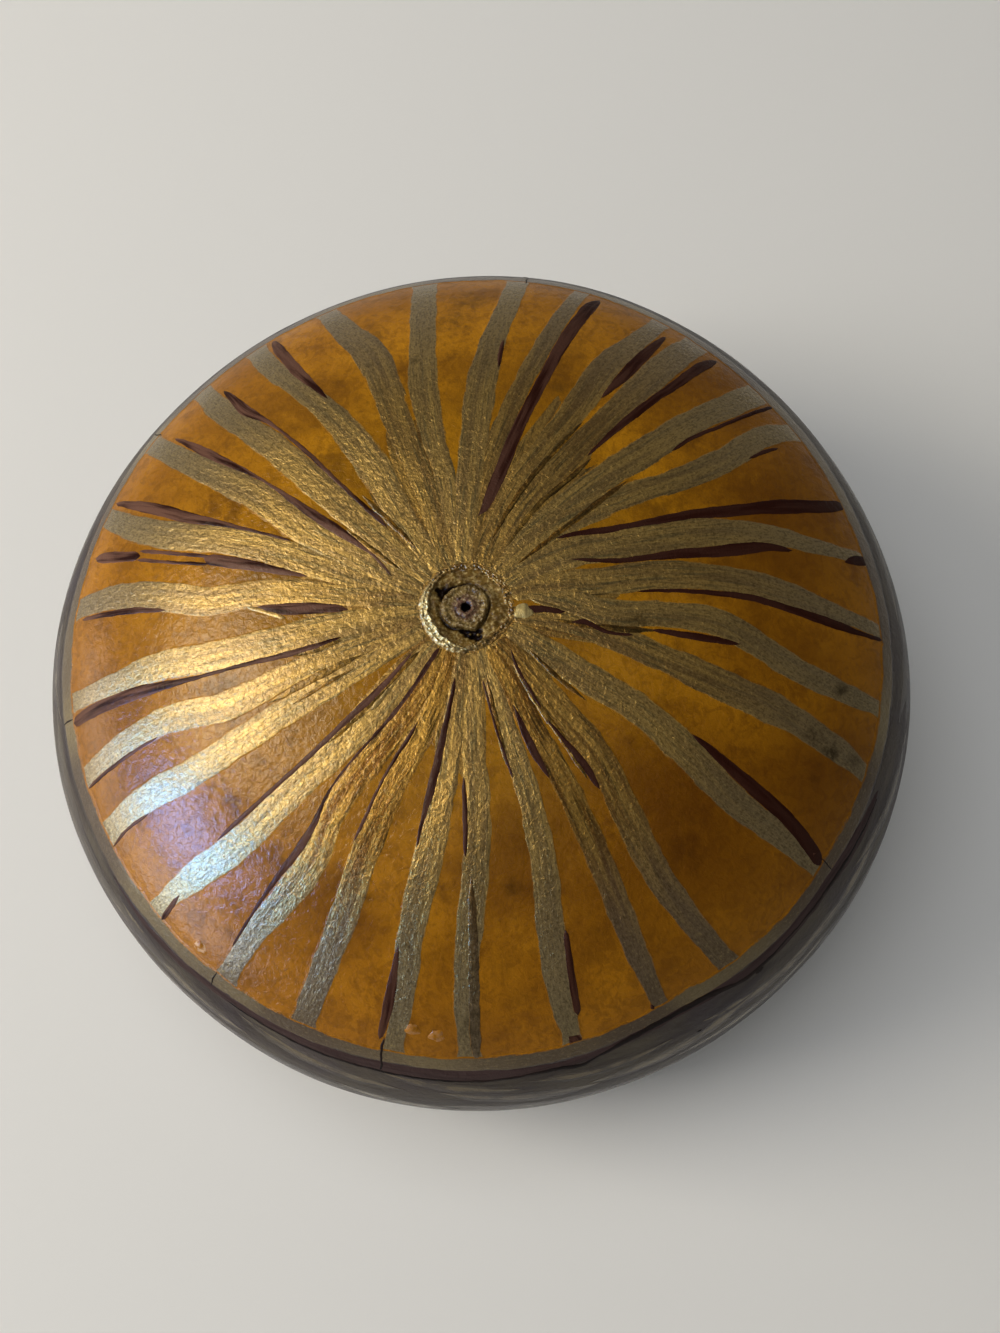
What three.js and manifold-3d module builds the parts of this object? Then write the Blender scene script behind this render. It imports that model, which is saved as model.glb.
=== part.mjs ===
// Gourd bowl: a hard-shelled gourd, cut across and painted, lying mouth down on its rim with its base up.
// Millimetres, +Z up. The origin is on the plane of the cut rim, under the middle of the bowl's outline.

import * as THREE from 'three';
import { mergeVertices } from 'three/addons/utils/BufferGeometryUtils.js';
import Module from 'manifold-3d';

const wasm = await Module();
wasm.setup();

// Outer form of the gourd
const widestRadius = 75;
const baseRise = 36.2;
const baseSquareness = 2.83;
const rimDrop = 30;
const mouthRadius = 63.5;
const shoulderCurve = 2.4;

// Thickness of the shell, and how far its growth axis leans from square to the cut, in degrees
const wall = 5;
const axisLean = 2.65;

// Natural swellings of the outline: how many go round, how far they stand out, and the bearing of one
const swellings = [
  { count: 2, height: 0.25, bearing: -62 },
  { count: 3, height: 0.3, bearing: -34 },
  { count: 4, height: 0.3, bearing: -8 },
];

// Blossom scar in the middle of the base
const collarDiameter = 15;
const collarWidth = 1.4;
const collarRise = 0.9;
const seatDepth = 1.8;
const discSink = 0.1;
const buttonDiameter = 7.4;
const buttonHeight = 0.6;
const buttonRimWidth = 0.7;
const buttonDish = 0.25;
const pinholeDiameter = 1.5;

// Clearance between the scar's pieces and what they sit in
const seatGap = 0.3;

// Fineness of the faceted surfaces
const shellSides = 72;
const baseSteps = 13;
const shoulderSteps = 9;
const scarSides = 36;
const lipSteps = 6;
const weldDistance = 1e-4;

// Colours and finishes
const finishes = {
  rind: { color: 0xb5742a, roughness: 0.42, metalness: 0 },
  bronze: { color: 0x9c8450, roughness: 0.48, metalness: 0.6 },
  driedDisc: { color: 0x4e421f, roughness: 0.75, metalness: 0 },
  styleWood: { color: 0x7c6a4a, roughness: 0.7, metalness: 0 },
};

// Sections are written as radius and height, and run up the outer side and back down the inner one.

// Point of the outer form's profile towards the base, from the widest level (0) to the crown (1)
function basePoint(share) {
  const turn = share * Math.PI / 2;
  const radius = widestRadius * Math.max(Math.cos(turn), 0) ** (2 / baseSquareness);
  const height = baseRise * Math.sin(turn) ** (2 / baseSquareness);
  return new THREE.Vector2(share === 1 ? 0 : radius, height);
}

// Point of the profile towards the mouth, from the widest level (0) to the level of the rim (1) and beyond
function shoulderPoint(share) {
  const radius = widestRadius - (widestRadius - mouthRadius) * share ** shoulderCurve;
  return new THREE.Vector2(radius, -rimDrop * share);
}

// The lean lifts one side of the rim, so the uncut gourd reaches further down than the cut
function outerProfile() {
  const overrun = 1 + 2 * widestRadius * Math.sin(THREE.MathUtils.degToRad(axisLean)) / rimDrop;
  const points = [];
  for (let step = shoulderSteps; step > 0; step -= 1) {
    points.push(shoulderPoint(overrun * step / shoulderSteps));
  }
  for (let step = 0; step <= baseSteps; step += 1) {
    points.push(basePoint(step / baseSteps));
  }
  return points;
}

// The same profile moved in by the thickness of the wall, square to the outer surface
function innerProfile(outer) {
  const crown = outer.length - 1;
  return outer.map((point, index) => {
    const before = outer[Math.max(index - 1, 0)];
    const after = outer[Math.min(index + 1, crown)];
    const along = after.clone().sub(before).normalize();
    const inward = index === crown ? new THREE.Vector2(0, -1) : new THREE.Vector2(-along.y, along.x);
    return point.clone().addScaledVector(inward, wall);
  });
}

// Revolves a profile of radius and height about Z
function revolve(profile, sides) {
  const geometry = new THREE.LatheGeometry(profile, sides);
  geometry.rotateX(Math.PI / 2);
  return geometry;
}

// Pushes a revolved surface out and in along the gourd's swellings
function swell(geometry) {
  const place = geometry.attributes.position;
  for (let index = 0; index < place.count; index += 1) {
    const bearing = Math.atan2(place.getY(index), place.getX(index));
    let stretch = 1;
    for (const swelling of swellings) {
      const phase = bearing - THREE.MathUtils.degToRad(swelling.bearing);
      stretch += swelling.height / widestRadius * Math.cos(swelling.count * phase);
    }
    place.setX(index, place.getX(index) * stretch);
    place.setY(index, place.getY(index) * stretch);
  }
  return geometry;
}

// Turns a closed geometry into a solid that can be cut
function toSolid(geometry) {
  const bare = geometry.clone();
  bare.deleteAttribute('normal');
  bare.deleteAttribute('uv');
  const merged = mergeVertices(bare, weldDistance);
  return new wasm.Manifold(new wasm.Mesh({
    numProp: 3,
    vertProperties: Float32Array.from(merged.attributes.position.array),
    triVerts: Uint32Array.from(merged.index.array),
  }));
}

function toGeometry(solid) {
  const mesh = solid.getMesh();
  const geometry = new THREE.BufferGeometry();
  geometry.setAttribute('position', new THREE.BufferAttribute(Float32Array.from(mesh.vertProperties), 3));
  geometry.setIndex(new THREE.BufferAttribute(Uint32Array.from(mesh.triVerts), 1));
  geometry.computeVertexNormals();
  return geometry;
}

function makePiece(name, geometry, finish) {
  const piece = new THREE.Mesh(geometry, new THREE.MeshStandardMaterial(finish));
  piece.name = name;
  return piece;
}

// Radius of the pocket that the scar sits in, and the heights of its floor and of the disc's top
const pocketRadius = collarDiameter / 2 + seatGap;
const pocketFloor = baseRise - seatDepth;
const discTop = baseRise - discSink;
const lean = -THREE.MathUtils.degToRad(axisLean);

// The shell: outer form, inner form and the scar's pocket revolved, swollen, leaned and cut flat at the rim
function makeShell() {
  const outer = outerProfile();
  const inner = innerProfile(outer);
  const beyondPocket = outer.filter((point) => point.x > pocketRadius);
  const pocket = [
    new THREE.Vector2(pocketRadius, baseRise),
    new THREE.Vector2(pocketRadius, pocketFloor),
    new THREE.Vector2(0, pocketFloor),
  ];
  const section = [...inner.reverse(), ...beyondPocket, ...pocket];
  const body = swell(revolve(section, shellSides));
  body.rotateY(lean);
  // A block larger than the gourd, with its top on the plane of the rim
  const reach = 4 * (widestRadius + rimDrop);
  const below = new THREE.BoxGeometry(reach, reach, reach);
  below.translate(0, 0, -rimDrop - reach / 2);
  return toGeometry(toSolid(body).subtract(toSolid(below)));
}

// Half-round points from an outer to an inner radius, rising from a foot to a crest
function roundedTop(innerRadius, outerRadius, foot, crest) {
  const middle = (innerRadius + outerRadius) / 2;
  const reach = (outerRadius - innerRadius) / 2;
  const points = [];
  for (let step = 0; step <= lipSteps; step += 1) {
    const turn = Math.PI * step / lipSteps;
    points.push(new THREE.Vector2(middle + reach * Math.cos(turn), foot + (crest - foot) * Math.sin(turn)));
  }
  return points;
}

// The corky collar: a ring with a rounded lip that stands proud of the base
function makeCollar() {
  const outerRadius = collarDiameter / 2;
  const innerRadius = outerRadius - collarWidth;
  const foot = pocketFloor + seatGap;
  const lip = roundedTop(innerRadius, outerRadius, discTop, baseRise + collarRise);
  const section = [new THREE.Vector2(innerRadius, foot), new THREE.Vector2(outerRadius, foot), ...lip];
  section.push(section[0].clone());
  return revolve(section, scarSides);
}

// The flat disc inside the collar
function makeDisc() {
  const radius = collarDiameter / 2 - collarWidth - seatGap;
  const foot = pocketFloor + seatGap;
  const section = [
    new THREE.Vector2(0, foot),
    new THREE.Vector2(radius, foot),
    new THREE.Vector2(radius, discTop),
    new THREE.Vector2(0, discTop),
  ];
  return revolve(section, scarSides);
}

// The woody button on the disc: a low rim, a dished face and the pinhole through it
function makeButton() {
  const outerRadius = buttonDiameter / 2;
  const holeRadius = pinholeDiameter / 2;
  const foot = discTop + seatGap;
  const crest = foot + buttonHeight;
  const rimInner = outerRadius - buttonRimWidth;
  const section = [
    new THREE.Vector2(holeRadius, foot),
    new THREE.Vector2(outerRadius, foot),
    ...roundedTop(rimInner, outerRadius, crest - buttonDish, crest),
    new THREE.Vector2(holeRadius, crest - buttonDish),
  ];
  section.push(section[0].clone());
  return revolve(section, scarSides);
}

const shell = makePiece('bowl_shell', makeShell(), finishes.rind);

// The scar's pieces share the gourd's growth axis, so they lean with it
const scar = new THREE.Group();
scar.add(makePiece('scar_collar', makeCollar(), finishes.bronze));
scar.add(makePiece('scar_disc', makeDisc(), finishes.driedDisc));
scar.add(makePiece('style_button', makeButton(), finishes.styleWood));
scar.rotation.y = lean;

// The whole bowl, lifted onto its rim and set with the middle of its outline over the origin
const group = new THREE.Group();
group.add(shell);
group.add(scar);
const outline = new THREE.Box3().setFromObject(shell);
const middle = outline.getCenter(new THREE.Vector3());
group.position.set(-middle.x, -middle.y, rimDrop);

export default group;
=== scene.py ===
# %% [markdown]
# # A painted gourd bowl, lying mouth down
# The real thing is a hard-shelled gourd, dried, cut across and turned over, so that its base faces up.
# Round the blossom scar in the middle of the base someone brushed bronze stripes, and between some of
# them lines of maroon ink; then the whole outside was varnished.
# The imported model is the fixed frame. Everything here is built in metres on the same form, so nothing
# has to be fitted to it afterwards.

# %% Load the frame and keep the box of the CAD model
import math

import bpy
import numpy as np
from mathutils import Matrix, Vector


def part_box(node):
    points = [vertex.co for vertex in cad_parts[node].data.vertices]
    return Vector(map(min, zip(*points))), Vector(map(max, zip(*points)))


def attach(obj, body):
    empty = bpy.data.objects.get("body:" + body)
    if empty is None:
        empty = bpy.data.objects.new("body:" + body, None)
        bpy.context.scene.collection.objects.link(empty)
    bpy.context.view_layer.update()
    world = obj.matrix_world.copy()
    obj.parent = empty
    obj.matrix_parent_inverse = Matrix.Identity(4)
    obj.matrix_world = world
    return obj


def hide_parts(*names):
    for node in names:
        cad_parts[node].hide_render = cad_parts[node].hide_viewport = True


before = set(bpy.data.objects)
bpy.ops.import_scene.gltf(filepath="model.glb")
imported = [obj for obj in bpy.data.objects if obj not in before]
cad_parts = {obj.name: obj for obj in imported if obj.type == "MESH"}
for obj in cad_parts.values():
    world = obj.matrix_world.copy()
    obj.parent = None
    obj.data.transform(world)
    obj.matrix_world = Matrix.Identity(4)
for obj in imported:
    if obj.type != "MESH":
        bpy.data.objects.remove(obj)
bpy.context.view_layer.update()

print("CAD nodes:", sorted(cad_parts))

# %% [markdown]
# ## The form of the gourd
# Every piece lies on one surface, so that surface is written once, as a function. A place on it is a
# bearing, in degrees round the growth axis, and an arc, the distance in millimetres from the crown along
# the skin. The numbers are those of the real form: a squarish dome above the widest level, a slow curve
# in towards the mouth below it, three faint natural swellings, and a growth axis that leans a little.

# %% Measures of the gourd, in millimetres and degrees
WIDEST_RADIUS = 75.0
BASE_RISE = 36.2
BASE_SQUARENESS = 2.83
RIM_DROP = 30.0
MOUTH_RADIUS = 63.5
SHOULDER_CURVE = 2.4
WALL = 5.0
AXIS_LEAN = 2.65
# Natural swellings: how many go round, how far they stand out, and a bearing
SWELLINGS = ((2, 0.25, -62), (3, 0.30, -34), (4, 0.30, -8))
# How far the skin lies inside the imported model's, which leaves room for the paint and the warts
INSET = 0.22
MM = 0.001


# %% [markdown]
# The profile could be a curve drawn by hand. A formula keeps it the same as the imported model's, and one fine
# table of it answers every later question, such as the radius at an arc. The table runs on below the cut,
# because the gourd leans, and its cut takes in a little more of it on one side.

# %% The profile, as a fine table of arc, radius and height
DOME_SAMPLES, SHOULDER_SAMPLES, BELOW_THE_CUT = 4001, 2001, 1.25


def profile_table():
    turn = np.linspace(math.pi / 2, 0, DOME_SAMPLES)
    power = 2 / BASE_SQUARENESS
    dome = np.stack([WIDEST_RADIUS * np.cos(turn) ** power, BASE_RISE * np.sin(turn) ** power])
    dome[0, 0] = 0
    share = np.linspace(0, BELOW_THE_CUT, SHOULDER_SAMPLES)[1:]
    narrowing = WIDEST_RADIUS - MOUTH_RADIUS
    shoulder = np.stack([WIDEST_RADIUS - narrowing * share ** SHOULDER_CURVE, -RIM_DROP * share])
    radius, height = np.concatenate([dome, shoulder], axis=1)
    arc = np.concatenate([[0], np.cumsum(np.hypot(np.diff(radius), np.diff(height)))])
    return arc, radius, height


ARC, RADIUS, HEIGHT = profile_table()
WIDEST_ARC = float(np.interp(0, -HEIGHT, ARC))
print(f"arc from crown to widest level {WIDEST_ARC:.1f} mm")

# %% [markdown]
# A real shell is never quite even. A few slow waves of a tenth of a millimetre are added to the skin, so
# that highlights wander over it as they do on the real gourd. They fade out at the scar and at the rim. A
# few pinhead warts stand on it; the table gives their bearing, arc, size and rise.

# %% Waves and warts of the skin
WARTS = (
    (230.1, 68.4, 0.7, 0.22), (262.2, 65.4, 0.6, 0.2), (319.4, 33.1, 0.5, 0.12),
    (220.2, 62.2, 0.5, 0.12), (118.0, 50.0, 0.6, 0.1), (21.0, 47.0, 0.6, 0.1),
)
# Waves: how many go round, millimetres of arc, share of the height, and phase
WAVES = ((5, 9.0, 0.5, 0.0), (9, -6.5, 0.4, 1.3), (3, 4.3, 0.35, 4.0), (14, 12.0, 0.3, 2.2))
WAVE_HEIGHT = 0.075
# The waves begin beyond the scar and end before the rim: where they start, and over what length
SCAR_CALM, RIM_CALM = (12, 15), (124, 10)


def radius_at(arc):
    return np.interp(arc, ARC, RADIUS)


def near(bearing, arc, middle, middle_arc, size):
    """1 at a place on the skin, falling to 0 round it; the size is in millimetres."""
    across = ((bearing - middle + 180) % 360 - 180) * radius_at(middle_arc) * math.pi / 180
    return np.exp(-(across**2 + (arc - middle_arc) ** 2) / (2 * size**2))


def unevenness(bearing, arc):
    turn = np.radians(bearing)
    waves = sum(size * np.sin(count * turn + arc / length + phase) for count, length, size, phase in WAVES)
    calm = np.clip((arc - SCAR_CALM[0]) / SCAR_CALM[1], 0, 1)
    calm = calm * np.clip((RIM_CALM[0] - arc) / RIM_CALM[1], 0, 1)
    warts = sum(rise * near(bearing, arc, middle, at, size) for middle, at, size, rise in WARTS)
    return WAVE_HEIGHT * waves * calm + warts


print("waves:", len(WAVES), "warts:", len(WARTS))

# %% [markdown]
# To lay anything on the skin, its place is found on the profile, moved out square to the surface, turned to
# its bearing, and leaned with the growth axis. One function does all four, so no piece can drift off.

# %% The skin of the gourd as a function
PROBE = 0.05


def lean(x, y, z):
    tilt = math.radians(AXIS_LEAN)
    return np.stack([math.cos(tilt) * x - math.sin(tilt) * z, y, math.sin(tilt) * x + math.cos(tilt) * z], -1)


def grown(bearing, arc, lift=0.0):
    """A place on the growing gourd, before it is set on the table, in millimetres."""
    bearing, arc = np.broadcast_arrays(np.asarray(bearing, float), np.asarray(arc, float))
    along_radius = radius_at(arc + PROBE) - radius_at(arc - PROBE)
    along_height = np.interp(arc + PROBE, ARC, HEIGHT) - np.interp(arc - PROBE, ARC, HEIGHT)
    length = np.hypot(along_radius, along_height) + 1e-12
    out = lift - INSET + unevenness(bearing, arc)
    turn = np.radians(bearing)
    stretch = 1 + sum(h / WIDEST_RADIUS * np.cos(n * (turn - math.radians(b))) for n, h, b in SWELLINGS)
    radius = (radius_at(arc) - along_height / length * out) * stretch
    height = np.interp(arc, ARC, HEIGHT) + along_radius / length * out
    return lean(radius * np.cos(turn), radius * np.sin(turn), height)


# %% [markdown]
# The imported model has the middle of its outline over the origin. The gourd here grows round its own leaning
# axis, so its outline is sampled once, and the difference between the two middles is the shift.

# %% Set the gourd on the table, with the middle of its outline where the CAD's is
def outline_middle():
    bearing, arc = np.meshgrid(np.arange(0, 360, 1.0), np.arange(60, 120, 0.5))
    points = grown(bearing, arc).reshape(-1, 3)
    return (points.min(0) + points.max(0)) / 2


low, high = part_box("bowl_shell")
cad_middle = np.array((low + high) / 2) / MM
MIDDLE = outline_middle()
SHIFT = np.array([cad_middle[0] - MIDDLE[0], cad_middle[1] - MIDDLE[1], RIM_DROP])
print("shift of the growth axis, mm:", SHIFT.round(3))


def skin(bearing, arc, lift=0.0):
    """The same place in the frame, in metres."""
    return (grown(bearing, arc, lift) + SHIFT) * MM


# %% [markdown]
# The gourd leans, so a level cut meets the skin at a slightly different arc on each bearing. The cut could
# be made with a boolean; here each bearing is searched for the height of the table, which keeps a clean grid.

# %% The arc at which the cut rim crosses each bearing
def rim_arc(bearing):
    arcs = np.linspace(110, 145, 1401)
    found = []
    for one in np.atleast_1d(bearing):
        height = skin(np.full_like(arcs, one), arcs)[:, 2]
        found.append(np.interp(0, -height, arcs))
    return np.array(found)


print("rim arc at 0, 90, 180, 270 degrees:", rim_arc([0, 90, 180, 270]).round(1))

# %% [markdown]
# ## Clouds and spots
# Mould left brown clouds and spots on the rind while it dried. The larger ones were read from the picture:
# bearing, arc, size in millimetres and strength. Dark smudges on some stripes were read likewise.

# %% Clouds, spots and smudges
CLOUDS = (
    (279.1, 44.1, 1.2, 0.85), (274.8, 56.1, 1.9, 0.5), (277.6, 60.8, 1.9, 0.45),
    (291.6, 54.2, 1.2, 0.55), (288.9, 56.3, 1.8, 0.3), (319.4, 33.1, 1.1, 0.55),
    (315.5, 37.2, 0.9, 0.45), (316.5, 46.7, 2.6, 0.5), (311.0, 50.2, 2.8, 0.75),
    (320.1, 44.2, 2.0, 0.45), (313.6, 46.0, 1.8, 0.55), (334.0, 60.4, 0.9, 0.85),
    (327.2, 63.5, 1.4, 0.5), (319.1, 64.4, 1.0, 0.35), (299.6, 63.6, 1.8, 0.35),
    (299.2, 58.6, 1.8, 0.3), (181.6, 56.8, 1.0, 0.5), (184.2, 41.0, 2.2, 0.25),
    (220.2, 62.2, 0.8, 0.45), (251.7, 47.3, 1.1, 0.6), (254.8, 43.5, 1.2, 0.3),
    (265.4, 44.7, 1.8, 0.45), (265.4, 53.8, 2.4, 0.35), (107.4, 55.7, 1.9, 0.6), (93.2, 55.5, 3.2, 0.6),
    (90.3, 60.9, 3.4, 0.65), (93.5, 47.5, 2.6, 0.3), (118.2, 48.1, 0.8, 0.4), (69.3, 42.6, 1.1, 0.6),
    (69.4, 51.3, 1.3, 0.4), (24.6, 60.3, 3.4, 0.45), (22.9, 54.5, 2.6, 0.35), (143.5, 58.0, 2.4, 0.2),
    (13.0, 56.0, 3.0, 0.2),
)
SMUDGES = (
    (339.7, 57.6, 1.3, 0.8), (338.9, 61.4, 1.5, 0.85), (339.3, 66.0, 1.4, 0.6), (341.5, 53.0, 1.6, 0.4),
    (348.7, 60.9, 1.1, 0.9), (354.7, 26.8, 1.3, 0.8), (352.8, 24.0, 1.5, 0.5), (101.3, 47.0, 0.9, 0.7),
    (260.2, 52.8, 0.5, 0.8), (86.0, 38.0, 0.8, 0.5), (86.2, 45.0, 0.8, 0.5), (110.5, 36.0, 0.9, 0.45),
    (110.2, 43.0, 0.9, 0.5), (110.4, 49.0, 0.8, 0.4), (305.0, 51.0, 0.6, 0.6), (305.4, 48.6, 0.5, 0.5),
    (24.0, 26.5, 1.4, 0.5), (29.5, 21.5, 1.3, 0.5), (287.0, 30.0, 1.0, 0.4), (286.2, 36.0, 0.9, 0.35),
    (247.0, 58.0, 1.0, 0.25), (225.0, 34.0, 1.2, 0.2), (269.0, 66.0, 1.2, 0.5), (270.8, 58.0, 1.0, 0.6),
    (270.8, 50.0, 0.9, 0.55), (270.5, 64.0, 1.1, 0.6), (270.6, 69.0, 1.1, 0.6), (270.3, 42.0, 0.8, 0.4),
    (182.0, 11.5, 2.6, 0.5), (196.0, 15.0, 2.2, 0.4), (262.0, 12.0, 2.0, 0.25), (341.0, 60.0, 3.4, 0.4),
    (339.0, 67.0, 3.0, 0.35), (348.6, 56.0, 3.0, 0.35), (348.4, 65.0, 2.6, 0.35),
)
# Where the brush left more gold
GILDED = (
    (55, 9.3, 1.3, 0.9), (63, 10.3, 1.2, 0.8), (42, 9.2, 0.9, 0.7), (180, 8.8, 1.2, 0.6),
    (200, 9.0, 1.0, 0.5), (300, 9.0, 1.2, 0.5), (272, 9.2, 1.2, 0.4), (100, 9.6, 1.2, 0.4),
)

# Where the rind is darker, mostly at the front and right: partly dye laid on more darkly, partly painted shade
# on the side turned from the lamps
DYE_AND_SHADE = (
    (318, 46, 15, 0.85), (335, 60, 14, 0.75), (350, 48, 14, 0.65), (300, 56, 9, 0.45),
    (281, 57, 9, 0.3), (15, 54, 14, 0.75), (45, 60, 12, 0.5), (270, 60, 14, 0.35), (282, 42, 8, 0.4),
    (256, 50, 7, 0.35), (345, 58, 30, 0.36), (285, 62, 12, 0.3),
)


def stained(bearing, arc, table):
    """How strongly a place is stained, from 0 to about 1."""
    bearing, arc = np.broadcast_arrays(np.asarray(bearing, float), np.asarray(arc, float))
    total = np.zeros(bearing.shape)
    for middle, middle_arc, size, strength in table:
        total = np.maximum(total, strength * near(bearing, arc, middle, middle_arc, size))
    return total


# %% [markdown]
# ## Tools for meshes
# All pieces are made from grids of points: rows of the same length, joined by quads. One function turns
# such grids into an object, with the values that its material reads kept as attributes of the mesh.


# %% Faces of a grid
def grid_faces(rows, columns, first=0, closed=False):
    """Faces of a grid whose rows run out from the crown and whose columns run round it, facing outwards."""
    across = np.arange(columns if closed else columns - 1)
    row, column = np.meshgrid(np.arange(rows - 1), across, indexing="ij")
    after = (column + 1) % columns
    corners = ((row, column), (row + 1, column), (row + 1, after), (row, after))
    return np.stack([r * columns + c for r, c in corners], -1).reshape(-1, 4) + first


print("faces of a closed grid of 3 by 4 points:", len(grid_faces(3, 4, closed=True)))

# %% [markdown]
# The whole bowl is one body, so every piece rides on "root".

# %% Turn points and faces into a piece of the bowl
def make_piece(name, materials, points, faces, values):
    """Values are kept as attributes of the mesh, where its materials read them."""
    mesh = bpy.data.meshes.new(name)
    mesh.from_pydata(np.asarray(points).reshape(-1, 3).tolist(), [], [list(map(int, face)) for face in faces])
    for label, numbers in values.items():
        layer = mesh.attributes.new(label, "FLOAT", "POINT")
        layer.data.foreach_set("value", np.asarray(numbers, np.float32).ravel())
    for material in materials:
        mesh.materials.append(material)
    mesh.polygons.foreach_set("use_smooth", [True] * len(mesh.polygons))
    mesh.update()
    made = bpy.data.objects.new(name, mesh)
    bpy.context.scene.collection.objects.link(made)
    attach(made, "root")
    print(f"{name}: {len(mesh.vertices)} points, {len(mesh.polygons)} faces")
    return made


# %% [markdown]
# ## Tools for materials
# Colours are written as the hex values a paint chart would give, and turned to linear light once.

# %% Colours and empty materials
def hex_colour(code):
    """sRGB hex to the linear colour that a shader wants."""
    parts = [int(code[i:i + 2], 16) / 255 for i in (1, 3, 5)]
    return [p / 12.92 if p <= 0.04045 else ((p + 0.055) / 1.055) ** 2.4 for p in parts] + [1.0]


def new_material(name):
    material = bpy.data.materials.new(name)
    material.use_nodes = True
    material.node_tree.nodes.clear()
    print("material", name)
    return material, material.node_tree


# %% [markdown]
# Nodes could be joined by hand in the shader editor. Here a table says in Blender's own words what each kind
# of node in use is, and one small function adds it, sets it and joins it, so that the rest reads as a recipe.
# A "fade" is a smooth step: while its value goes from the second number to the third, the result goes from 0
# to 1, or from the fourth number to the fifth. A "blend" mixes two colours by a share, "between" two numbers.

# %% Kinds of node: type, settings, the sockets that values go to, and the socket that is the result
KINDS = {
    "fade": ("MapRange", {"interpolation_type": "SMOOTHSTEP"},
             ("Value", "From Min", "From Max", "To Min", "To Max"), "Result"),
    "blend": ("Mix", {"data_type": "RGBA", "clamp_result": True}, (0, 6, 7), 2),
    "between": ("Mix", {"data_type": "FLOAT"}, (0, 2, 3), 0),
    "times": ("Math", {"operation": "MULTIPLY"}, (0, 1), 0),
    "plus": ("Math", {"operation": "ADD"}, (0, 1), 0),
    "minus": ("Math", {"operation": "SUBTRACT"}, (0, 1), 0),
    "attribute": ("Attribute", {}, (), "Fac"),
    "place": ("TexCoord", {}, (), "Object"),
    "direction": ("TexCoord", {}, (), "Generated"),
    "moved": ("Mapping", {}, ("Vector", "Location", "Scale"), 0),
    "joined": ("CombineXYZ", {}, (0, 1, 2), 0),
    "parted": ("SeparateXYZ", {}, (0,), "X"),
    "red": ("SeparateColor", {}, (0,), 0),
    "noise": ("TexNoise", {"noise_dimensions": "3D"},
              ("Vector", "Scale", "Detail", "Roughness", "Distortion"), 0),
    "cells": ("TexVoronoi", {"feature": "F1"}, ("Vector", "Scale"), "Distance"),
    "bump": ("Bump", {}, ("Height", "Distance", "Strength"), 0),
    "shader": ("BsdfPrincipled", {}, ("Base Color", "Roughness", "Metallic", "Normal", "Coat Normal",
                                      "Specular IOR Level", "Coat Weight", "Coat Roughness", "Coat IOR"), 0),
    "surface": ("OutputMaterial", {}, ("Surface",), None),
}


def add(tree, kind, *values, **settings):
    """Adds a node of this kind and gives its result. A value is a number, a hex colour, or a socket."""
    type_name, usual, sockets, result = KINDS[kind]
    made = tree.nodes.new("ShaderNode" + type_name)
    for key, setting in {**usual, **settings}.items():
        setattr(made, key, setting)
    for socket, value in zip(sockets, values):
        if isinstance(value, bpy.types.NodeSocket):
            tree.links.new(value, made.inputs[socket])
        else:
            made.inputs[socket].default_value = hex_colour(value) if isinstance(value, str) else value
    return made.outputs[result] if made.outputs else made


# %% [markdown]
# Most finishes are a few colours laid over one another, each where a pattern is strong. That is one loop over
# a table: the pattern, the two levels between which it fades, how much shows at each, and the colour.

# %% Layers of colour, and patterns whose size is given in millimetres
def layered(tree, colour, layers):
    for value, start, end, low, high, code in layers:
        colour = add(tree, "blend", add(tree, "fade", value, start, end, low, high), colour, code)
    return colour


def pattern(tree, size, detail=3.0, roughness=0.5, seed=0.0, stretch=(1, 1, 1), distortion=0.0):
    """Noise whose lumps are about this many millimetres across, in the frame's own metres."""
    scale = [1 / (size * MM * k) for k in stretch]
    moved = add(tree, "moved", add(tree, "place"), (seed, seed * 0.7, -seed * 0.4), scale)
    return add(tree, "noise", moved, 1.0, detail, roughness, distortion)


def speckles(tree, size, seed):
    """Distance to the nearest of scattered points, about this many millimetres apart, and its colour."""
    moved = add(tree, "moved", add(tree, "place"), (seed, -seed, seed * 0.5), [1 / (size * MM)] * 3)
    distance = add(tree, "cells", moved, 1.0)
    return distance, distance.node.outputs["Color"]


# %% [markdown]
# ## Varnished gourd rind
# The rind of a dried bottle gourd is a thin, hard skin, tan under the light. Mould that lived on it while
# it dried leaves soft brown clouds and small round spots. Here it was dyed orange-brown and varnished with
# a brush. To the eye: a warm, slightly uneven orange, darker and greener near the scar, with a clear gloss
# that shows the faint pimples of the skin. The colour is one function, because paint that thins out shows
# the same rind through it.


# %% Colour of the rind
def mottle(tree):
    """Ragged patches a millimetre or two across, which break up anything that soaks into the rind."""
    return add(tree, "fade", pattern(tree, 1.7, detail=5, roughness=0.7, seed=14.0), 0.38, 0.62)


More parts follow.
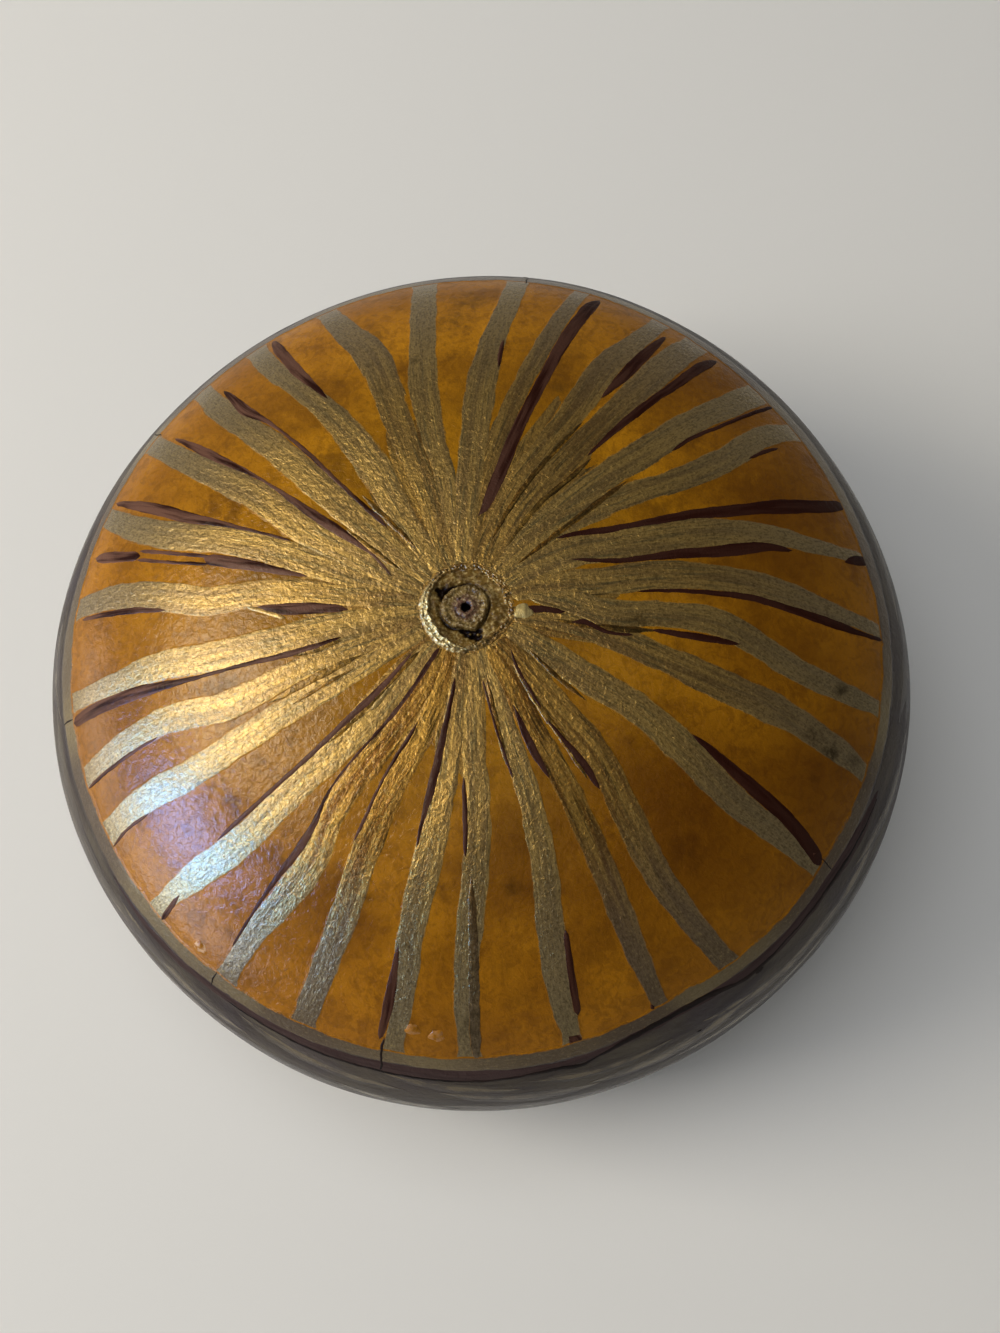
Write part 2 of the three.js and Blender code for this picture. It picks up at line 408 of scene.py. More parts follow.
def rind_colour(tree):
    arc, cloud, dye_and_shade = (add(tree, "attribute", attribute_name=label) for label in ("arc", "cloud", "dye_and_shade"))
    tint = pattern(tree, 26, detail=4, roughness=0.6, seed=3.1)
    stains = pattern(tree, 7, detail=5, roughness=0.68, seed=8.4)
    worm = pattern(tree, 2.4, detail=4, roughness=0.6, seed=4.7, distortion=1.2)
    fine = pattern(tree, 0.8, detail=3, roughness=0.6, seed=5.5)
    colour = add(tree, "blend", add(tree, "fade", tint, 0.38, 0.64), "#A9710C", "#7B4F07")
    colour = layered(tree, colour, (
        (stains, 0.50, 0.68, 0, 0.75, "#5A3705"),
        (stains, 0.30, 0.45, 0.4, 0, "#B27A14"),
        (arc, 22, 46, 0.5, 0, "#8A6108"),
        (arc, 40, 72, 0, 0.5, "#9A6212"),
        (worm, 0.46, 0.62, 0, 0.4, "#6A4206"),
    ))
    # only some of the scattered points become spots
    distance, chance = speckles(tree, 7.5, seed=1.7)
    picked = add(tree, "fade", add(tree, "red", chance), 0.62, 0.66)
    spot = add(tree, "times", add(tree, "fade", distance, 0.04, 0.16, 1, 0), picked)
    colour = add(tree, "blend", add(tree, "times", spot, 0.4), colour, "#402806")
    broken = add(tree, "times", cloud, add(tree, "plus", add(tree, "times", mottle(tree), 0.45), 0.55))
    colour = layered(tree, colour, ((broken, 0.05, 0.9, 0, 0.75, "#432D07"),))
    # darker dye and painted shade, mostly at the front and right, away from the lamps
    colour = add(tree, "blend", add(tree, "times", dye_and_shade, 0.95), colour, "#482401")
    # the last layer is painted shade: the dark at the bottom of the pinhole
    return layered(tree, colour, ((fine, 0.5, 0.75, 0, 0.3, "#553605"), (arc, 1.2, 2.2, 1, 0, "#120B08")))


# %% [markdown]
# Varnish is a clear coat with a relief of its own. The shader's coat gives the gloss, and a separate bump for
# it lets the varnish run smoother than the paint below, as the real film does.

# %% Relief of the rind, and anything under varnish
VARNISH_IOR = 1.5
# what lies under the varnish mirrors almost nothing of its own
SUNK_SPECULAR = 0.02
VARNISH_PIMPLES = 0.11


def rind_height(tree, pimple=0.14):
    """Pimples of the skin and the brush-laid varnish over them, in millimetres."""
    pimples = pattern(tree, 1.0, detail=4, roughness=0.6, seed=2.0, distortion=0.5)
    slow = pattern(tree, 4.0, detail=2, roughness=0.5, seed=7.0)
    return add(tree, "plus", add(tree, "times", pimples, pimple), add(tree, "times", slow, 0.08))


def varnished(tree, colour, roughness, metallic, height, coat=0.42, coat_roughness=0.15, skin_height=None):
    """Paint or rind under varnish; a skin height is the varnish's own relief. Heights are in millimetres."""
    under, over = (add(tree, "bump", relief, MM, 1.0) for relief in (height, skin_height or height))
    values = (colour, roughness, metallic, under, over, SUNK_SPECULAR, coat, coat_roughness, VARNISH_IOR)
    add(tree, "surface", add(tree, "shader", *values))


# %% [markdown]
# With the colour and the relief as recipes, the material itself is short. Old rind isn't evenly smooth, so
# its roughness wanders too, over about a centimetre.

# %% Material: varnished gourd rind
rind, tree = new_material("varnished_gourd_rind")
dull = pattern(tree, 14, detail=4, seed=12.0)
varnished(tree, rind_colour(tree), add(tree, "between", dull, 0.38, 0.55), 0.0, rind_height(tree),
          skin_height=rind_height(tree, VARNISH_PIMPLES))

# %% [markdown]
# ## Bronze paint
# Craft bronze paint is a clear binder full of mica and bronze flakes. Laid on with a small stiff brush it
# leaves streaks along the stroke, thins out at the edges, and lets the rind show between the hairs. To the
# eye: olive-gold and half metallic, bright where a lamp is mirrored, dull elsewhere, with a fine sparkle.
# Each stroke carries two measures for its material, how far across and how far along a point is, both in
# millimetres, so the streaks always follow the brush.


# %% Streaks that follow the brush
STREAK_ROUGHNESS = 0.55


def streaks(tree, width, length, seed=0.0, detail=2.0):
    """Noise in the stroke's own measures: lumps this wide across the brush and this long along it."""
    across, along = (add(tree, "attribute", attribute_name=label) for label in ("across", "along"))
    x, y = add(tree, "times", across, 1 / width), add(tree, "times", along, 1 / length)
    return add(tree, "noise", add(tree, "joined", x, y, seed), 1.0, detail, STREAK_ROUGHNESS)


def paint_thickness(tree, hairs, speck, soft, feather):
    """How much paint lies here: less between the hairs of the brush and towards the edges of the stroke."""
    cover, edge, arc = (add(tree, "attribute", attribute_name=label) for label in ("cover", "edge", "arc"))
    gaps = add(tree, "times", add(tree, "minus", hairs, 0.5), add(tree, "fade", arc, 25, 50, 1.6, 0.9))
    grains = add(tree, "times", add(tree, "minus", speck, 0.5), 0.9)
    # by the scar the strokes lie over one another, so there an edge shows no rind
    thinning = add(tree, "times", add(tree, "fade", edge, soft, 1.0, 0, 0.7), add(tree, "fade", arc, 18, 34))
    # towards the ring the dry brush left soft edges
    outwards = add(tree, "fade", arc, 48, 68)
    feathering = add(tree, "times", add(tree, "fade", edge, 0.3, 1.0, 0, feather), outwards)
    thickness = add(tree, "plus", add(tree, "plus", cover, gaps), grains)
    return add(tree, "minus", add(tree, "minus", thickness, thinning), feathering)


# %% [markdown]
# The same paint was used all over, laid on thick or thin, over rind, cork or the dark side. So there is one
# recipe, with the colours, the metal, the grain (crackle) and the softness of its edges as its measures.
# Where the paint is thin, the surface under it shows, with that surface's own colour.

# %% Recipe: brushed bronze paint
def bronze_material(name, light="#A07A34", dark="#694516", grey="#857157", bright="#B2A06A", lift=0.3,
                    metal=0.72, crackle=1.0, soft=0.75, feather=0.4, under=rind_colour):
    material, tree = new_material(name)
    arc, tone, smudge = (add(tree, "attribute", attribute_name=label) for label in ("arc", "tone", "smudge"))
    hairs = streaks(tree, 0.55, 9, seed=1.0, detail=4)
    broad = streaks(tree, 1.2, 20, seed=4.0)
    fibre = streaks(tree, 0.26, 1.1, seed=7.0, detail=3)
    grain = pattern(tree, 0.42, detail=4, roughness=0.7, seed=9.0)
    speck = add(tree, "between", 0.58, fibre, grain)
    paint = add(tree, "fade", paint_thickness(tree, hairs, speck, soft, feather), 0.12, 0.42)
    colour = add(tree, "blend", add(tree, "fade", broad, 0.35, 0.65), light, dark)
    near_scar = add(tree, "fade", arc, 22, 52, 1.0, 0.4)
    furrows = add(tree, "times", add(tree, "fade", hairs, 0.52, 0.64, 0, 0.9), near_scar)
    broken = add(tree, "times", smudge, add(tree, "plus", add(tree, "times", mottle(tree), 0.6), 0.5))
    # the brush ran dry towards the ring, and the last centimetre is thin and dull
    colour = layered(tree, add(tree, "blend", furrows, colour, "#3F2C0D"), (
        (arc, 36, 64, 0, 0.8, grey),
        (arc, 57, 70, 0, 0.55, "#54483A"),
        # tone lifts the paint towards its bright colour: more paint here and there, and painted light on the
        # strokes at the back and painted highlight on the lip
        (tone, 0, 1, 0, lift, bright),
        (speck, 0.48, 0.60, 0, 0.5 * crackle, "#453518"),
        (speck, 0.36, 0.46, 0.3 * crackle, 0, "#C8AE68"),
        (broken, 0.1, 0.9, 0, 0.8, "#33260C"),
    ))
    whole = add(tree, "blend", paint, under(tree), colour)
    height = add(tree, "plus", rind_height(tree), add(tree, "times", hairs, 0.05))
    height = add(tree, "plus", height, add(tree, "times", speck, 0.08))
    varnished(tree, whole, add(tree, "between", paint, 0.45, 0.31), add(tree, "times", paint, metal), height,
              coat_roughness=0.17, skin_height=rind_height(tree, VARNISH_PIMPLES))
    return material


bronze = bronze_material("brushed_bronze_paint")


# %% [markdown]
# The side was coated smoky grey-brown before the bronze went on. That colour is a function like the rind's,
# because the thin bronze of the side and of the ring lets it show through.

# %% Colour of the side, and the bronzes laid over it and over the cork
def side_colour(tree):
    """Smoky grey-brown, wiped along the side."""
    sweep = streaks(tree, 2.4, 20, seed=3.0, detail=4)
    broad = streaks(tree, 6, 32, seed=5.0, detail=3)
    blotch = pattern(tree, 11, detail=4, seed=4.4)
    colour = add(tree, "blend", add(tree, "fade", broad, 0.38, 0.62), "#342C28", "#4C443A")
    return layered(tree, colour, (
        (sweep, 0.45, 0.68, 0, 0.5, "#585040"),
        (sweep, 0.28, 0.42, 0.5, 0, "#2C2627"),
        (blotch, 0.45, 0.7, 0, 0.5, "#3B3339"),
    ))


def under_the_ring(tree):
    """The ring covers the seam between the bare rind and the coat of the side."""
    beyond = add(tree, "fade", add(tree, "attribute", attribute_name="arc"), 71.2, 71.9)
    return add(tree, "blend", beyond, rind_colour(tree), side_colour(tree))


side_bronze = bronze_material("thinned_bronze_on_the_side", light="#645844", dark="#463D30", grey="#574D3D",
                              metal=0.3, crackle=0.3, soft=0.0, feather=0.0, under=side_colour)
ring_bronze = bronze_material("greyed_bronze_paint", light="#64523D", dark="#443522", grey="#564736",
                              metal=0.3, crackle=0.45, soft=0.3, feather=0.15, under=under_the_ring)
# its bright cream is painted highlight on the lip's lit side
collar_bronze = bronze_material("bronze_on_the_cork", light="#9A7535", dark="#654417", bright="#E2CE92",
                                lift=0.9, metal=0.4)


# %% [markdown]
# ## Maroon ink
# The thin lines beside the stripes were drawn with a dark red-brown marker or ink, which soaks into the rind
# a little and lies under the varnish. To the eye: almost black, glossy, with a red glow where it is thin.

# %% Materials: ink and washes under varnish
def ink_material(name, deep, thin, under=rind_colour):
    material, tree = new_material(name)
    cover, edge, tone = (add(tree, "attribute", attribute_name=label) for label in ("cover", "edge", "tone"))
    hairs = add(tree, "times", add(tree, "minus", streaks(tree, 0.5, 7, seed=2.0), 0.5), 0.7)
    thickness = add(tree, "minus", add(tree, "plus", cover, hairs), add(tree, "fade", edge, 0.7, 1.0, 0, 0.8))
    ink = add(tree, "fade", thickness, 0.1, 0.4)
    washed = add(tree, "times", add(tree, "fade", streaks(tree, 1.0, 12, seed=6.0), 0.35, 0.6), tone)
    colour = add(tree, "blend", washed, deep, thin)
    varnished(tree, add(tree, "blend", ink, under(tree), colour), 0.5, 0.0, rind_height(tree), coat=0.12,
              coat_roughness=0.2)
    return material


maroon = ink_material("maroon_ink_under_varnish", "#260F08", "#68493A")
brown_ink = ink_material("brown_wash_under_varnish", "#352725", "#4A3A37", under=side_colour)
black_ink = ink_material("black_ink_under_varnish", "#17110F", "#2C201B", under=side_colour)

# %% [markdown]
# ## Painted side
# Below the ring the shell was given a coat of dark grey-brown paint, thinned and wiped, and then swoops of
# the bronze over it. To the eye: smoky grey with a purple cast, satin rather than glossy.

# %% Material: dark side coat
side_paint, tree = new_material("smoky_side_paint")
satin = pattern(tree, 7, detail=3, seed=5.0)
varnished(tree, side_colour(tree), add(tree, "between", satin, 0.42, 0.58), 0.12, rind_height(tree),
          coat=0.25, coat_roughness=0.28)

# %% [markdown]
# ## Bare gourd: the sawn rim and the inside
# Under the skin a gourd's shell is a pale, corky wood, fine and even like balsa. The sawn rim shows it
# sanded; inside, scraped pith leaves a tan, slightly fuzzy skin with soft stringy marks.

# %% Material: sanded rim
sawn, tree = new_material("sanded_gourd_shell")
grain = pattern(tree, 0.9, detail=4, roughness=0.6, seed=1.0)
colour = add(tree, "blend", add(tree, "fade", grain, 0.35, 0.65), "#C9A874", "#A98250")
varnished(tree, colour, 0.75, 0.0, add(tree, "times", grain, 0.06), coat=0.0)

# %% [markdown]
# Inside, the strings of the pith run up and down the wall, so the noise is stretched along the height.

# %% Material: scraped inside
inside, tree = new_material("scraped_gourd_pith")
strings = pattern(tree, 6, detail=5, roughness=0.65, seed=6.0, stretch=(1, 1, 3.5), distortion=0.6)
fuzz = pattern(tree, 0.8, detail=3, seed=3.0)
colour = add(tree, "blend", add(tree, "fade", strings, 0.35, 0.68), "#C4A06A", "#94703E")
colour = layered(tree, colour, ((fuzz, 0.5, 0.8, 0, 0.4, "#DCC296"),))
height = add(tree, "plus", add(tree, "times", strings, 0.25), add(tree, "times", fuzz, 0.05))
varnished(tree, colour, 0.85, 0.0, height, coat=0.0)

# %% [markdown]
# ## The shell
# One closed skin: a shallow seat for the scar in the middle, down over the outside to the saw cut, across
# the cut, and back up the inside. It could be a lathe, but the real gourd isn't round, so each row of the
# grid is placed on the skin function, and the last outer row ends exactly on the plane of the table.

# %% Rows of the shell: the seat of the scar and the outside
AROUND, OUTER_ROWS, INNER_ROWS = 480, 118, 60
SEAT_RADIUS, SEAT_DEPTH, SEAT_EDGE_DEPTH = 7.7, 1.8, 0.3
SEAT_EDGE, FIRST_ROW, LAST_ROW = 0.05, 0.25, 0.45
OUTSIDE, CUT, INSIDE = 0, 1, 2
bearings = np.arange(AROUND) * 360 / AROUND
cut_arc = rim_arc(bearings)
rows = []


def add_row(points, arc, finish):
    rows.append((points, np.broadcast_to(arc, AROUND), finish))


for arc in (0.4, 3.0, 5.5, SEAT_RADIUS):
    add_row(skin(bearings, arc, -SEAT_DEPTH), arc, OUTSIDE)
add_row(skin(bearings, SEAT_RADIUS + SEAT_EDGE, -SEAT_EDGE_DEPTH), SEAT_RADIUS + SEAT_EDGE, OUTSIDE)
for share in np.linspace(0, 1, OUTER_ROWS):
    arc = SEAT_RADIUS + FIRST_ROW + share * (cut_arc - LAST_ROW - SEAT_RADIUS - FIRST_ROW)
    add_row(skin(bearings, arc), arc, OUTSIDE)
print("rows of the outside:", len(rows))

# %% [markdown]
# The inside follows the outside at the thickness of the wall. Where it meets the cut is found by stepping
# down it until it is level with the table. The rows beside the cut stop half a millimetre short of it, so its
# corners are small bevels, as sandpaper leaves them.

# %% Rows of the shell: the cut and the inside
STEPS_DOWN, ARC_PER_HEIGHT = 6, 1.02
SHORT_OF_THE_CUT, INNERMOST = 0.5, 0.5


def inner_point(bearing, arc):
    return skin(bearing, arc, -WALL + INSET)


outer_edge = skin(bearings, cut_arc)
inner_arc = cut_arc.copy()
for _ in range(STEPS_DOWN):
    inner_arc += inner_point(bearings, inner_arc)[:, 2] / MM * ARC_PER_HEIGHT
inner_edge = inner_point(bearings, inner_arc)
for share in (0.05, 0.10, 0.3, 0.5, 0.7, 0.9, 0.95):
    level = outer_edge + (inner_edge - outer_edge) * share
    level[:, 2] = 0
    add_row(level, cut_arc, CUT)
for share in np.linspace(0, 1, INNER_ROWS):
    arc = (inner_arc - SHORT_OF_THE_CUT) * (1 - share) + INNERMOST * share
    add_row(inner_point(bearings, arc), arc, INSIDE)
print("rows in all:", len(rows))

# %% [markdown]
# A closed skin can be weighed, printed and baked, so both ends of the grid are closed with a fan of triangles
# round a point on the axis. Each band of faces then takes its finish: rind, sanded cut or scraped inside.

# %% Close the shell and give it its three finishes
row_points, row_arcs, finishes = zip(*rows)
faces = grid_faces(len(rows), AROUND, closed=True).tolist()
last = (len(rows) - 1) * AROUND
inside_tip, outside_tip = len(rows) * AROUND, len(rows) * AROUND + 1
for column in range(AROUND):
    after = (column + 1) % AROUND
    faces += [[last + after, last + column, inside_tip], [column, after, outside_tip]]
points = np.concatenate([*row_points, [inner_point(0, 0.0)], [skin(0, 0.0, -SEAT_DEPTH)]])
arc_values = np.concatenate([*row_arcs, [0.0, 0.0]])
bearing_values = np.concatenate([np.tile(bearings, len(rows)), [0.0, 0.0]])
outer_side = np.arange(len(points)) < finishes.count(OUTSIDE) * AROUND
shell = make_piece("gourd_shell", (rind, sawn, inside), points, faces, {
    "arc": arc_values,
    "cloud": stained(bearing_values, arc_values, CLOUDS) * outer_side,
    "dye_and_shade": stained(bearing_values, arc_values, DYE_AND_SHADE) * outer_side,
})
bands = [CUT if CUT in pair else pair[0] for pair in zip(finishes, finishes[1:])]
areas = np.concatenate([np.repeat(bands, AROUND), np.tile([INSIDE, OUTSIDE], AROUND)])
shell.data.polygons.foreach_set("material_index", areas)
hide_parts("bowl_shell")

# %% [markdown]
# ## Brush strokes
# A stroke could be painted on the shell's material with masks, but thirty hand-drawn strokes are easier to
# draw, to change and to bake as thin ribbons that lie on the skin, a twentieth of a millimetre proud, with
# soft shoulders and edges sunk just below it. Each ribbon is given by a few places read along its middle:
# arc, bearing and width. The edges wander a little, as a hand-held brush does.


# %% Smooth paths, and a hand's unsteadiness
HAND_WAVES = 4


def smooth_through(at, where, values):
    """A smooth curve through given values (Catmull-Rom)."""
    where, values = np.asarray(where, float), np.asarray(values, float)
    slope = np.gradient(values, where)
    index = np.clip(np.searchsorted(where, at) - 1, 0, len(where) - 2)
    gap = where[index + 1] - where[index]
    t = np.clip((at - where[index]) / gap, 0, 1)
    m, n = slope[index] * gap, slope[index + 1] * gap
    leaving = (2 * t**3 - 3 * t**2 + 1) * values[index] + (t**3 - 2 * t**2 + t) * m
    return leaving + (3 * t**2 - 2 * t**3) * values[index + 1] + (t**3 - t**2) * n


def wander(length, seed, size, wave):
    """A hand's slow drift along a stroke: a few sines of random phase, in millimetres."""
    draw = np.random.default_rng(seed)
    total = np.zeros_like(length)
    for k in range(HAND_WAVES):
        total += np.sin(length / wave * (1 + 0.8 * k) * 2 * math.pi + draw.uniform(0, 6.28)) / (1 + k)
    return total * size / 2


# %% [markdown]
# Across a ribbon the paint is flat up to its shoulders and then slopes down to edges just under the skin, so
# no edge hovers. Along it, the sideways direction is worked out at each point, and the stroke tapers to its
# ends. What its material reads is kept point by point under these labels.

# %% Sideways directions, tapers and the section of a ribbon
SHOULDER, SLOPE, EDGE_SINK, LEAST = 0.76, 0.92, -0.012, 0.02
LABELS = ("across", "along", "edge", "cover", "tone", "arc", "smudge", "cloud", "dye_and_shade")
# Each stroke reads its own part of the streaks, this far from its neighbour's
NEXT_ACROSS, NEXT_ALONG = 13.7, 31.0


def degree_length(arc):
    """Millimetres along the skin in one degree of bearing."""
    return radius_at(arc) * math.pi / 180


def sideways(bearing, arc):
    """How far along its path each point is, and the direction square to the path there."""
    scale = degree_length(arc)
    step = np.hypot(np.diff(bearing) * (scale[1:] + scale[:-1]) / 2, np.diff(arc))
    length = np.concatenate([[0], np.cumsum(step)])
    run_x, run_y = np.gradient(bearing, length) * scale, np.gradient(arc, length)
    norm = np.hypot(run_x, run_y) + 1e-9
    return length, run_y / norm, -run_x / norm


def tapered(length, ends):
    """1 along a stroke, falling to almost nothing over these lengths at its two ends."""
    start, end = np.clip(length / ends[0], 0, 1), np.clip((length[-1] - length) / ends[1], 0, 1)
    return np.maximum(np.sqrt(start) * np.sqrt(end), LEAST)


# %% [markdown]
# A ribbon could be a curve with a flat bevel, but that would cut through a curved skin. As a grid on the
# skin function it follows every wave. Many ribbons are collected into one piece.

# %% Ribbons of paint that follow the skin
class Ribbons:
    """Collects ribbons that will be one object."""

    def __init__(self):
        self.points, self.faces, self.count = [], [], 0
        self.values = {label: [] for label in LABELS}

    def lay(self, bearing, arc, width, lift=0.05, cover=0.9, tone=0.5, seed=0, columns=8, ends=(1.0, 1.0),
            edge_size=0.16, edge_wave=7.0, smudge=0.0):
        """A ribbon along a path on the skin. The paths are arrays; ends are the lengths it takes to taper."""
        length, side_x, side_y = sideways(bearing, arc)
        left, right = (width / 2 + wander(length, seed * 2 + side, edge_size, edge_wave) for side in (1, 2))
        taper = tapered(length, ends)
        left, right = np.maximum(left * taper, LEAST), np.maximum(right * taper, LEAST)
        u = np.concatenate([[-1, -SLOPE], np.linspace(-SHOULDER, SHOULDER, columns - 3), [SLOPE, 1]])
        offset = u * np.where(u < 0, left[:, None], right[:, None])
        b = bearing[:, None] + offset * side_x[:, None] / degree_length(arc)[:, None]
        a = arc[:, None] + offset * side_y[:, None]
        height = np.interp(np.abs(u), (SHOULDER, SLOPE, 1.0), (lift, 0.5 * lift, EDGE_SINK))
        self.points.append(skin(b, a, np.broadcast_to(height, a.shape)).reshape(-1, 3))
        self.faces.append(grid_faces(len(length), columns + 1, first=self.count))
        self.count += a.size
        values = (offset + seed * NEXT_ACROSS, length[:, None] + seed * NEXT_ALONG, np.abs(u),
                  np.reshape(cover, (-1, 1)), np.reshape(tone, (-1, 1)), a,
                  np.maximum(smudge, stained(b, a, SMUDGES)), stained(b, a, CLOUDS), stained(b, a, DYE_AND_SHADE))
        for label, value in zip(LABELS, values):
            self.values[label].append(np.broadcast_to(value, a.shape).ravel())

    def build(self, name, material):
        values = {label: np.concatenate(parts) for label, parts in self.values.items()}
        make_piece(name, (material,), np.concatenate(self.points), np.concatenate(self.faces), values)


# %% [markdown]
# ## The bronze stripes
# Twenty-nine stripes run from the scar to the ring. Their middles and widths were read from the picture,
# at arcs of 10 to 69 mm from the crown: bearings in degrees (0 to the right, 90 to the back), widths in
# millimetres.

# %% Stripes: arcs, then bearings, then widths
TENS = (10, 20, 30, 40, 50, 60, 69)
STRIPES = (
    (TENS, (-85, -87, -86.2, -87.6, -89.4, -90.2, -89.9), (2.6, 3, 3.4, 3.8, 3.9, 3.5, 3.2)),
    (TENS, (-71, -72.2, -72, -73.2, -75.4, -76.5, -76.4), (2.4, 2.9, 3.2, 3.8, 4.1, 4, 2.9)),
    (TENS, (-60, -62, -61.7, -62.5, -63.5, -64.1, -64.1), (2.6, 3.3, 3.3, 3.9, 3.6, 3.5, 2.2)),
    (TENS, (-46, -49, -49.3, -52.9, -55.1, -54.7, -53.6), (3.4, 4.1, 4.2, 4.4, 4.3, 3.9, 3.5)),
    (TENS, (-29, -31.7, -31.9, -34.2, -36.4, -36.3, -36.3), (3.4, 4.3, 4.5, 5.1, 4.6, 3.7, 2)),
    ((10, 15, 20, 25, 30, 35, 40, 45, 50, 55, 60, 65, 69),
     (-8, -8.5, -10.5, -13, -15, -16.2, -17.3, -18, -18.4, -19, -19.9, -20.5, -21.2),
     (3, 3.5, 4, 4.2, 4.1, 4.4, 5, 5.2, 5.2, 4.5, 4.3, 4, 2.8)),
    ((10, 15, 20, 30, 40, 45, 50, 60, 69), (15, 6.5, -1.2, -2.2, -3.6, -6.5, -9.2, -11.4, -11.8),
     (2.2, 3.4, 4.2, 4, 4.7, 4.2, 4, 3.8, 2.6)),
    (TENS, (20, 12, 10.2, 7.5, 4.2, 1, -0.6), (2.8, 4, 4.9, 4.5, 4.2, 3, 2.2)),
    ((10, 20, 25, 30, 40, 50, 60, 69), (33, 28, 24.5, 22.4, 19.1, 15.8, 12.1, 10.4),
     (3.8, 5, 5, 5.4, 5.4, 3.9, 2.7, 2.1)),
    ((10, 20, 30, 35, 40, 50, 60, 69), (48, 43, 37.5, 35.5, 33.6, 32.5, 33.7, 32.8),
     (3, 4, 4, 4, 4, 4.5, 4.5, 4)),
    (TENS, (53, 49, 46, 43.5, 42.6, 41.3, 41.1), (3, 4, 4.5, 5.1, 4.6, 5.1, 5)),
    (TENS, (65, 62, 58.5, 56, 54.6, 54, 53.5), (2.8, 3.5, 4, 4, 5, 5.5, 5)),
    (TENS, (74, 71, 66, 63.4, 62.8, 60.7, 60), (2.8, 3.5, 3.6, 4.8, 5, 3.9, 3.5)),
    (TENS, (86, 84, 80.5, 77.8, 75.7, 74.2, 73.3), (2.2, 2.5, 3, 3, 3, 3, 2.5)),
    (TENS, (92, 89, 87.9, 87, 85.5, 83.8, 83.2), (3, 4.1, 4.5, 4.9, 4.3, 4, 4)),
    (TENS, (101, 99, 100.5, 100.7, 99.3, 98.2, 97.5), (2.6, 3, 3.6, 4.8, 4.6, 4.7, 4.6)),
    (TENS, (110, 108, 109, 109, 109.3, 112, 113.3), (2.8, 3.5, 4.2, 5.1, 5.8, 5.1, 4)),
    (TENS, (124, 123, 121.5, 122.4, 124.3, 126, 125.7), (3.2, 4, 5.4, 4.7, 4, 4.1, 4.2)),
    (TENS, (140, 138.7, 138, 137.3, 137.2, 137.3, 136.1), (2.9, 3.7, 4.6, 5.1, 4.6, 4.8, 3.8)),
    (TENS, (156, 153.5, 151.8, 148.9, 148.6, 148.2, 147.3), (2.8, 3.6, 4.4, 5.2, 4.6, 4.4, 4.2)),
    (TENS, (166, 163, 161.2, 161.3, 162.6, 162.3, 160.5), (2.8, 3.5, 4.6, 4.6, 5, 5, 3.6)),
    ((10, 20, 30, 35, 40, 50, 60, 69), (172, 172.5, 173.2, 174.5, 176.1, 175, 174.5, 175.3),
     (2.8, 3.5, 4.3, 4.5, 4.7, 5.2, 4.7, 4)),
    (TENS, (186, 187, 188.8, 189.4, 188.6, 189.3, 189.5), (3.2, 4.1, 4.4, 5, 4.8, 3.6, 3.5)),
    (TENS, (198, 199, 200.7, 201.6, 199.1, 199.5, 200.5), (3, 3.7, 3.6, 4.8, 4.5, 4.1, 3.5)),
    (TENS, (209, 210.5, 210.2, 210.4, 210.3, 209.1, 209.4), (2.6, 3, 4, 4.5, 4.6, 4.9, 4.3)),
    (TENS, (231, 231, 229, 227.2, 226.2, 223.8, 222.2), (2.6, 3, 4.2, 4.2, 4.9, 4.6, 2.7)),
    ((10, 20, 30, 35, 40, 45, 50, 60, 69), (245, 242, 238.5, 237.8, 238.3, 239.4, 238.8, 236.7, 235.8),
     (2.6, 3, 4.4, 4.3, 4.2, 4.5, 4.7, 3.8, 3.5)),
    (TENS, (255, 252, 249, 248.3, 248.8, 248.4, 247.8), (2.4, 2.8, 3.7, 4.2, 4.3, 4.3, 3.8)),
    (TENS, (266, 264.5, 263.5, 261.9, 260.7, 260.9, 260.2), (2.6, 3, 3.5, 4.4, 4, 3.3, 2.9)),
)
print("stripes read:", len(STRIPES))

# %% [markdown]
# Each stripe runs from the collar to just over the upper edge of the ring. It is slimmer where it climbs to
# the scar, and the brush spread a little where it met the ring. Neighbours differ in height by a few
# thousandths of a millimetre, so that where two cross, one lies clearly on top.

# %% Lay the stripes
COLLAR_EDGE, RING_TOP, STEP = 7.4, 72.0, 0.7
stripes = Ribbons()
for number, (arcs, middles, widths) in enumerate(STRIPES):
    arc = np.arange(COLLAR_EDGE, RING_TOP, STEP)
    slimmer = 1 - 0.25 * np.clip((10 - arc) / 3, 0, 1)
    spread = 1.8 * np.clip((arc - 67.6) / 3.4, 0, 1) ** 2
    # the strokes at the back are painted paler: painted light, as the lamps reach the back of the dome more
    painted_back_light = max(math.sin(math.radians(middles[3])), 0)
    tone = np.random.default_rng(100 + number).uniform(0, 1) + 0.5 * painted_back_light
    width = smooth_through(arc, arcs, widths) * slimmer + spread + 0.5
    stripes.lay(smooth_through(arc, arcs, middles), arc, width,
                lift=0.030 + 0.003 * (number % 5), cover=0.75 + 0.12 * wander(arc, 500 + number, 1.0, 25),
                tone=tone, seed=number, ends=(0.1, 0.1))

# %% [markdown]
# A few single hairs of the brush left thin bright lines beside their stripes. Each is a list of places:
# arc, bearing and width.

# %% Stray hair lines
HAIR_LINES = (
    ((10.2, 7.0, 0.35), (11.5, 3.6, 0.4), (13, 0.6, 0.5), (15, -1.6, 0.5), (18, -4.8, 0.5),
     (21.5, -8.8, 0.4)),
    ((28.5, 182, 0.5), (32, 179.4, 0.6), (35, 178, 0.4)),
    ((12, 222, 0.5), (14, 225, 0.9), (17, 227.5, 0.9), (22, 228.6, 0.6)),
)


def lay_places(ribbons, places, arc, **how):
    """A ribbon through given places."""
    arcs, middles, widths = np.array(places).T
    width = smooth_through(arc, arcs, widths) + 0.2
    ribbons.lay(smooth_through(arc, arcs, middles), arc, width, columns=5, **how)


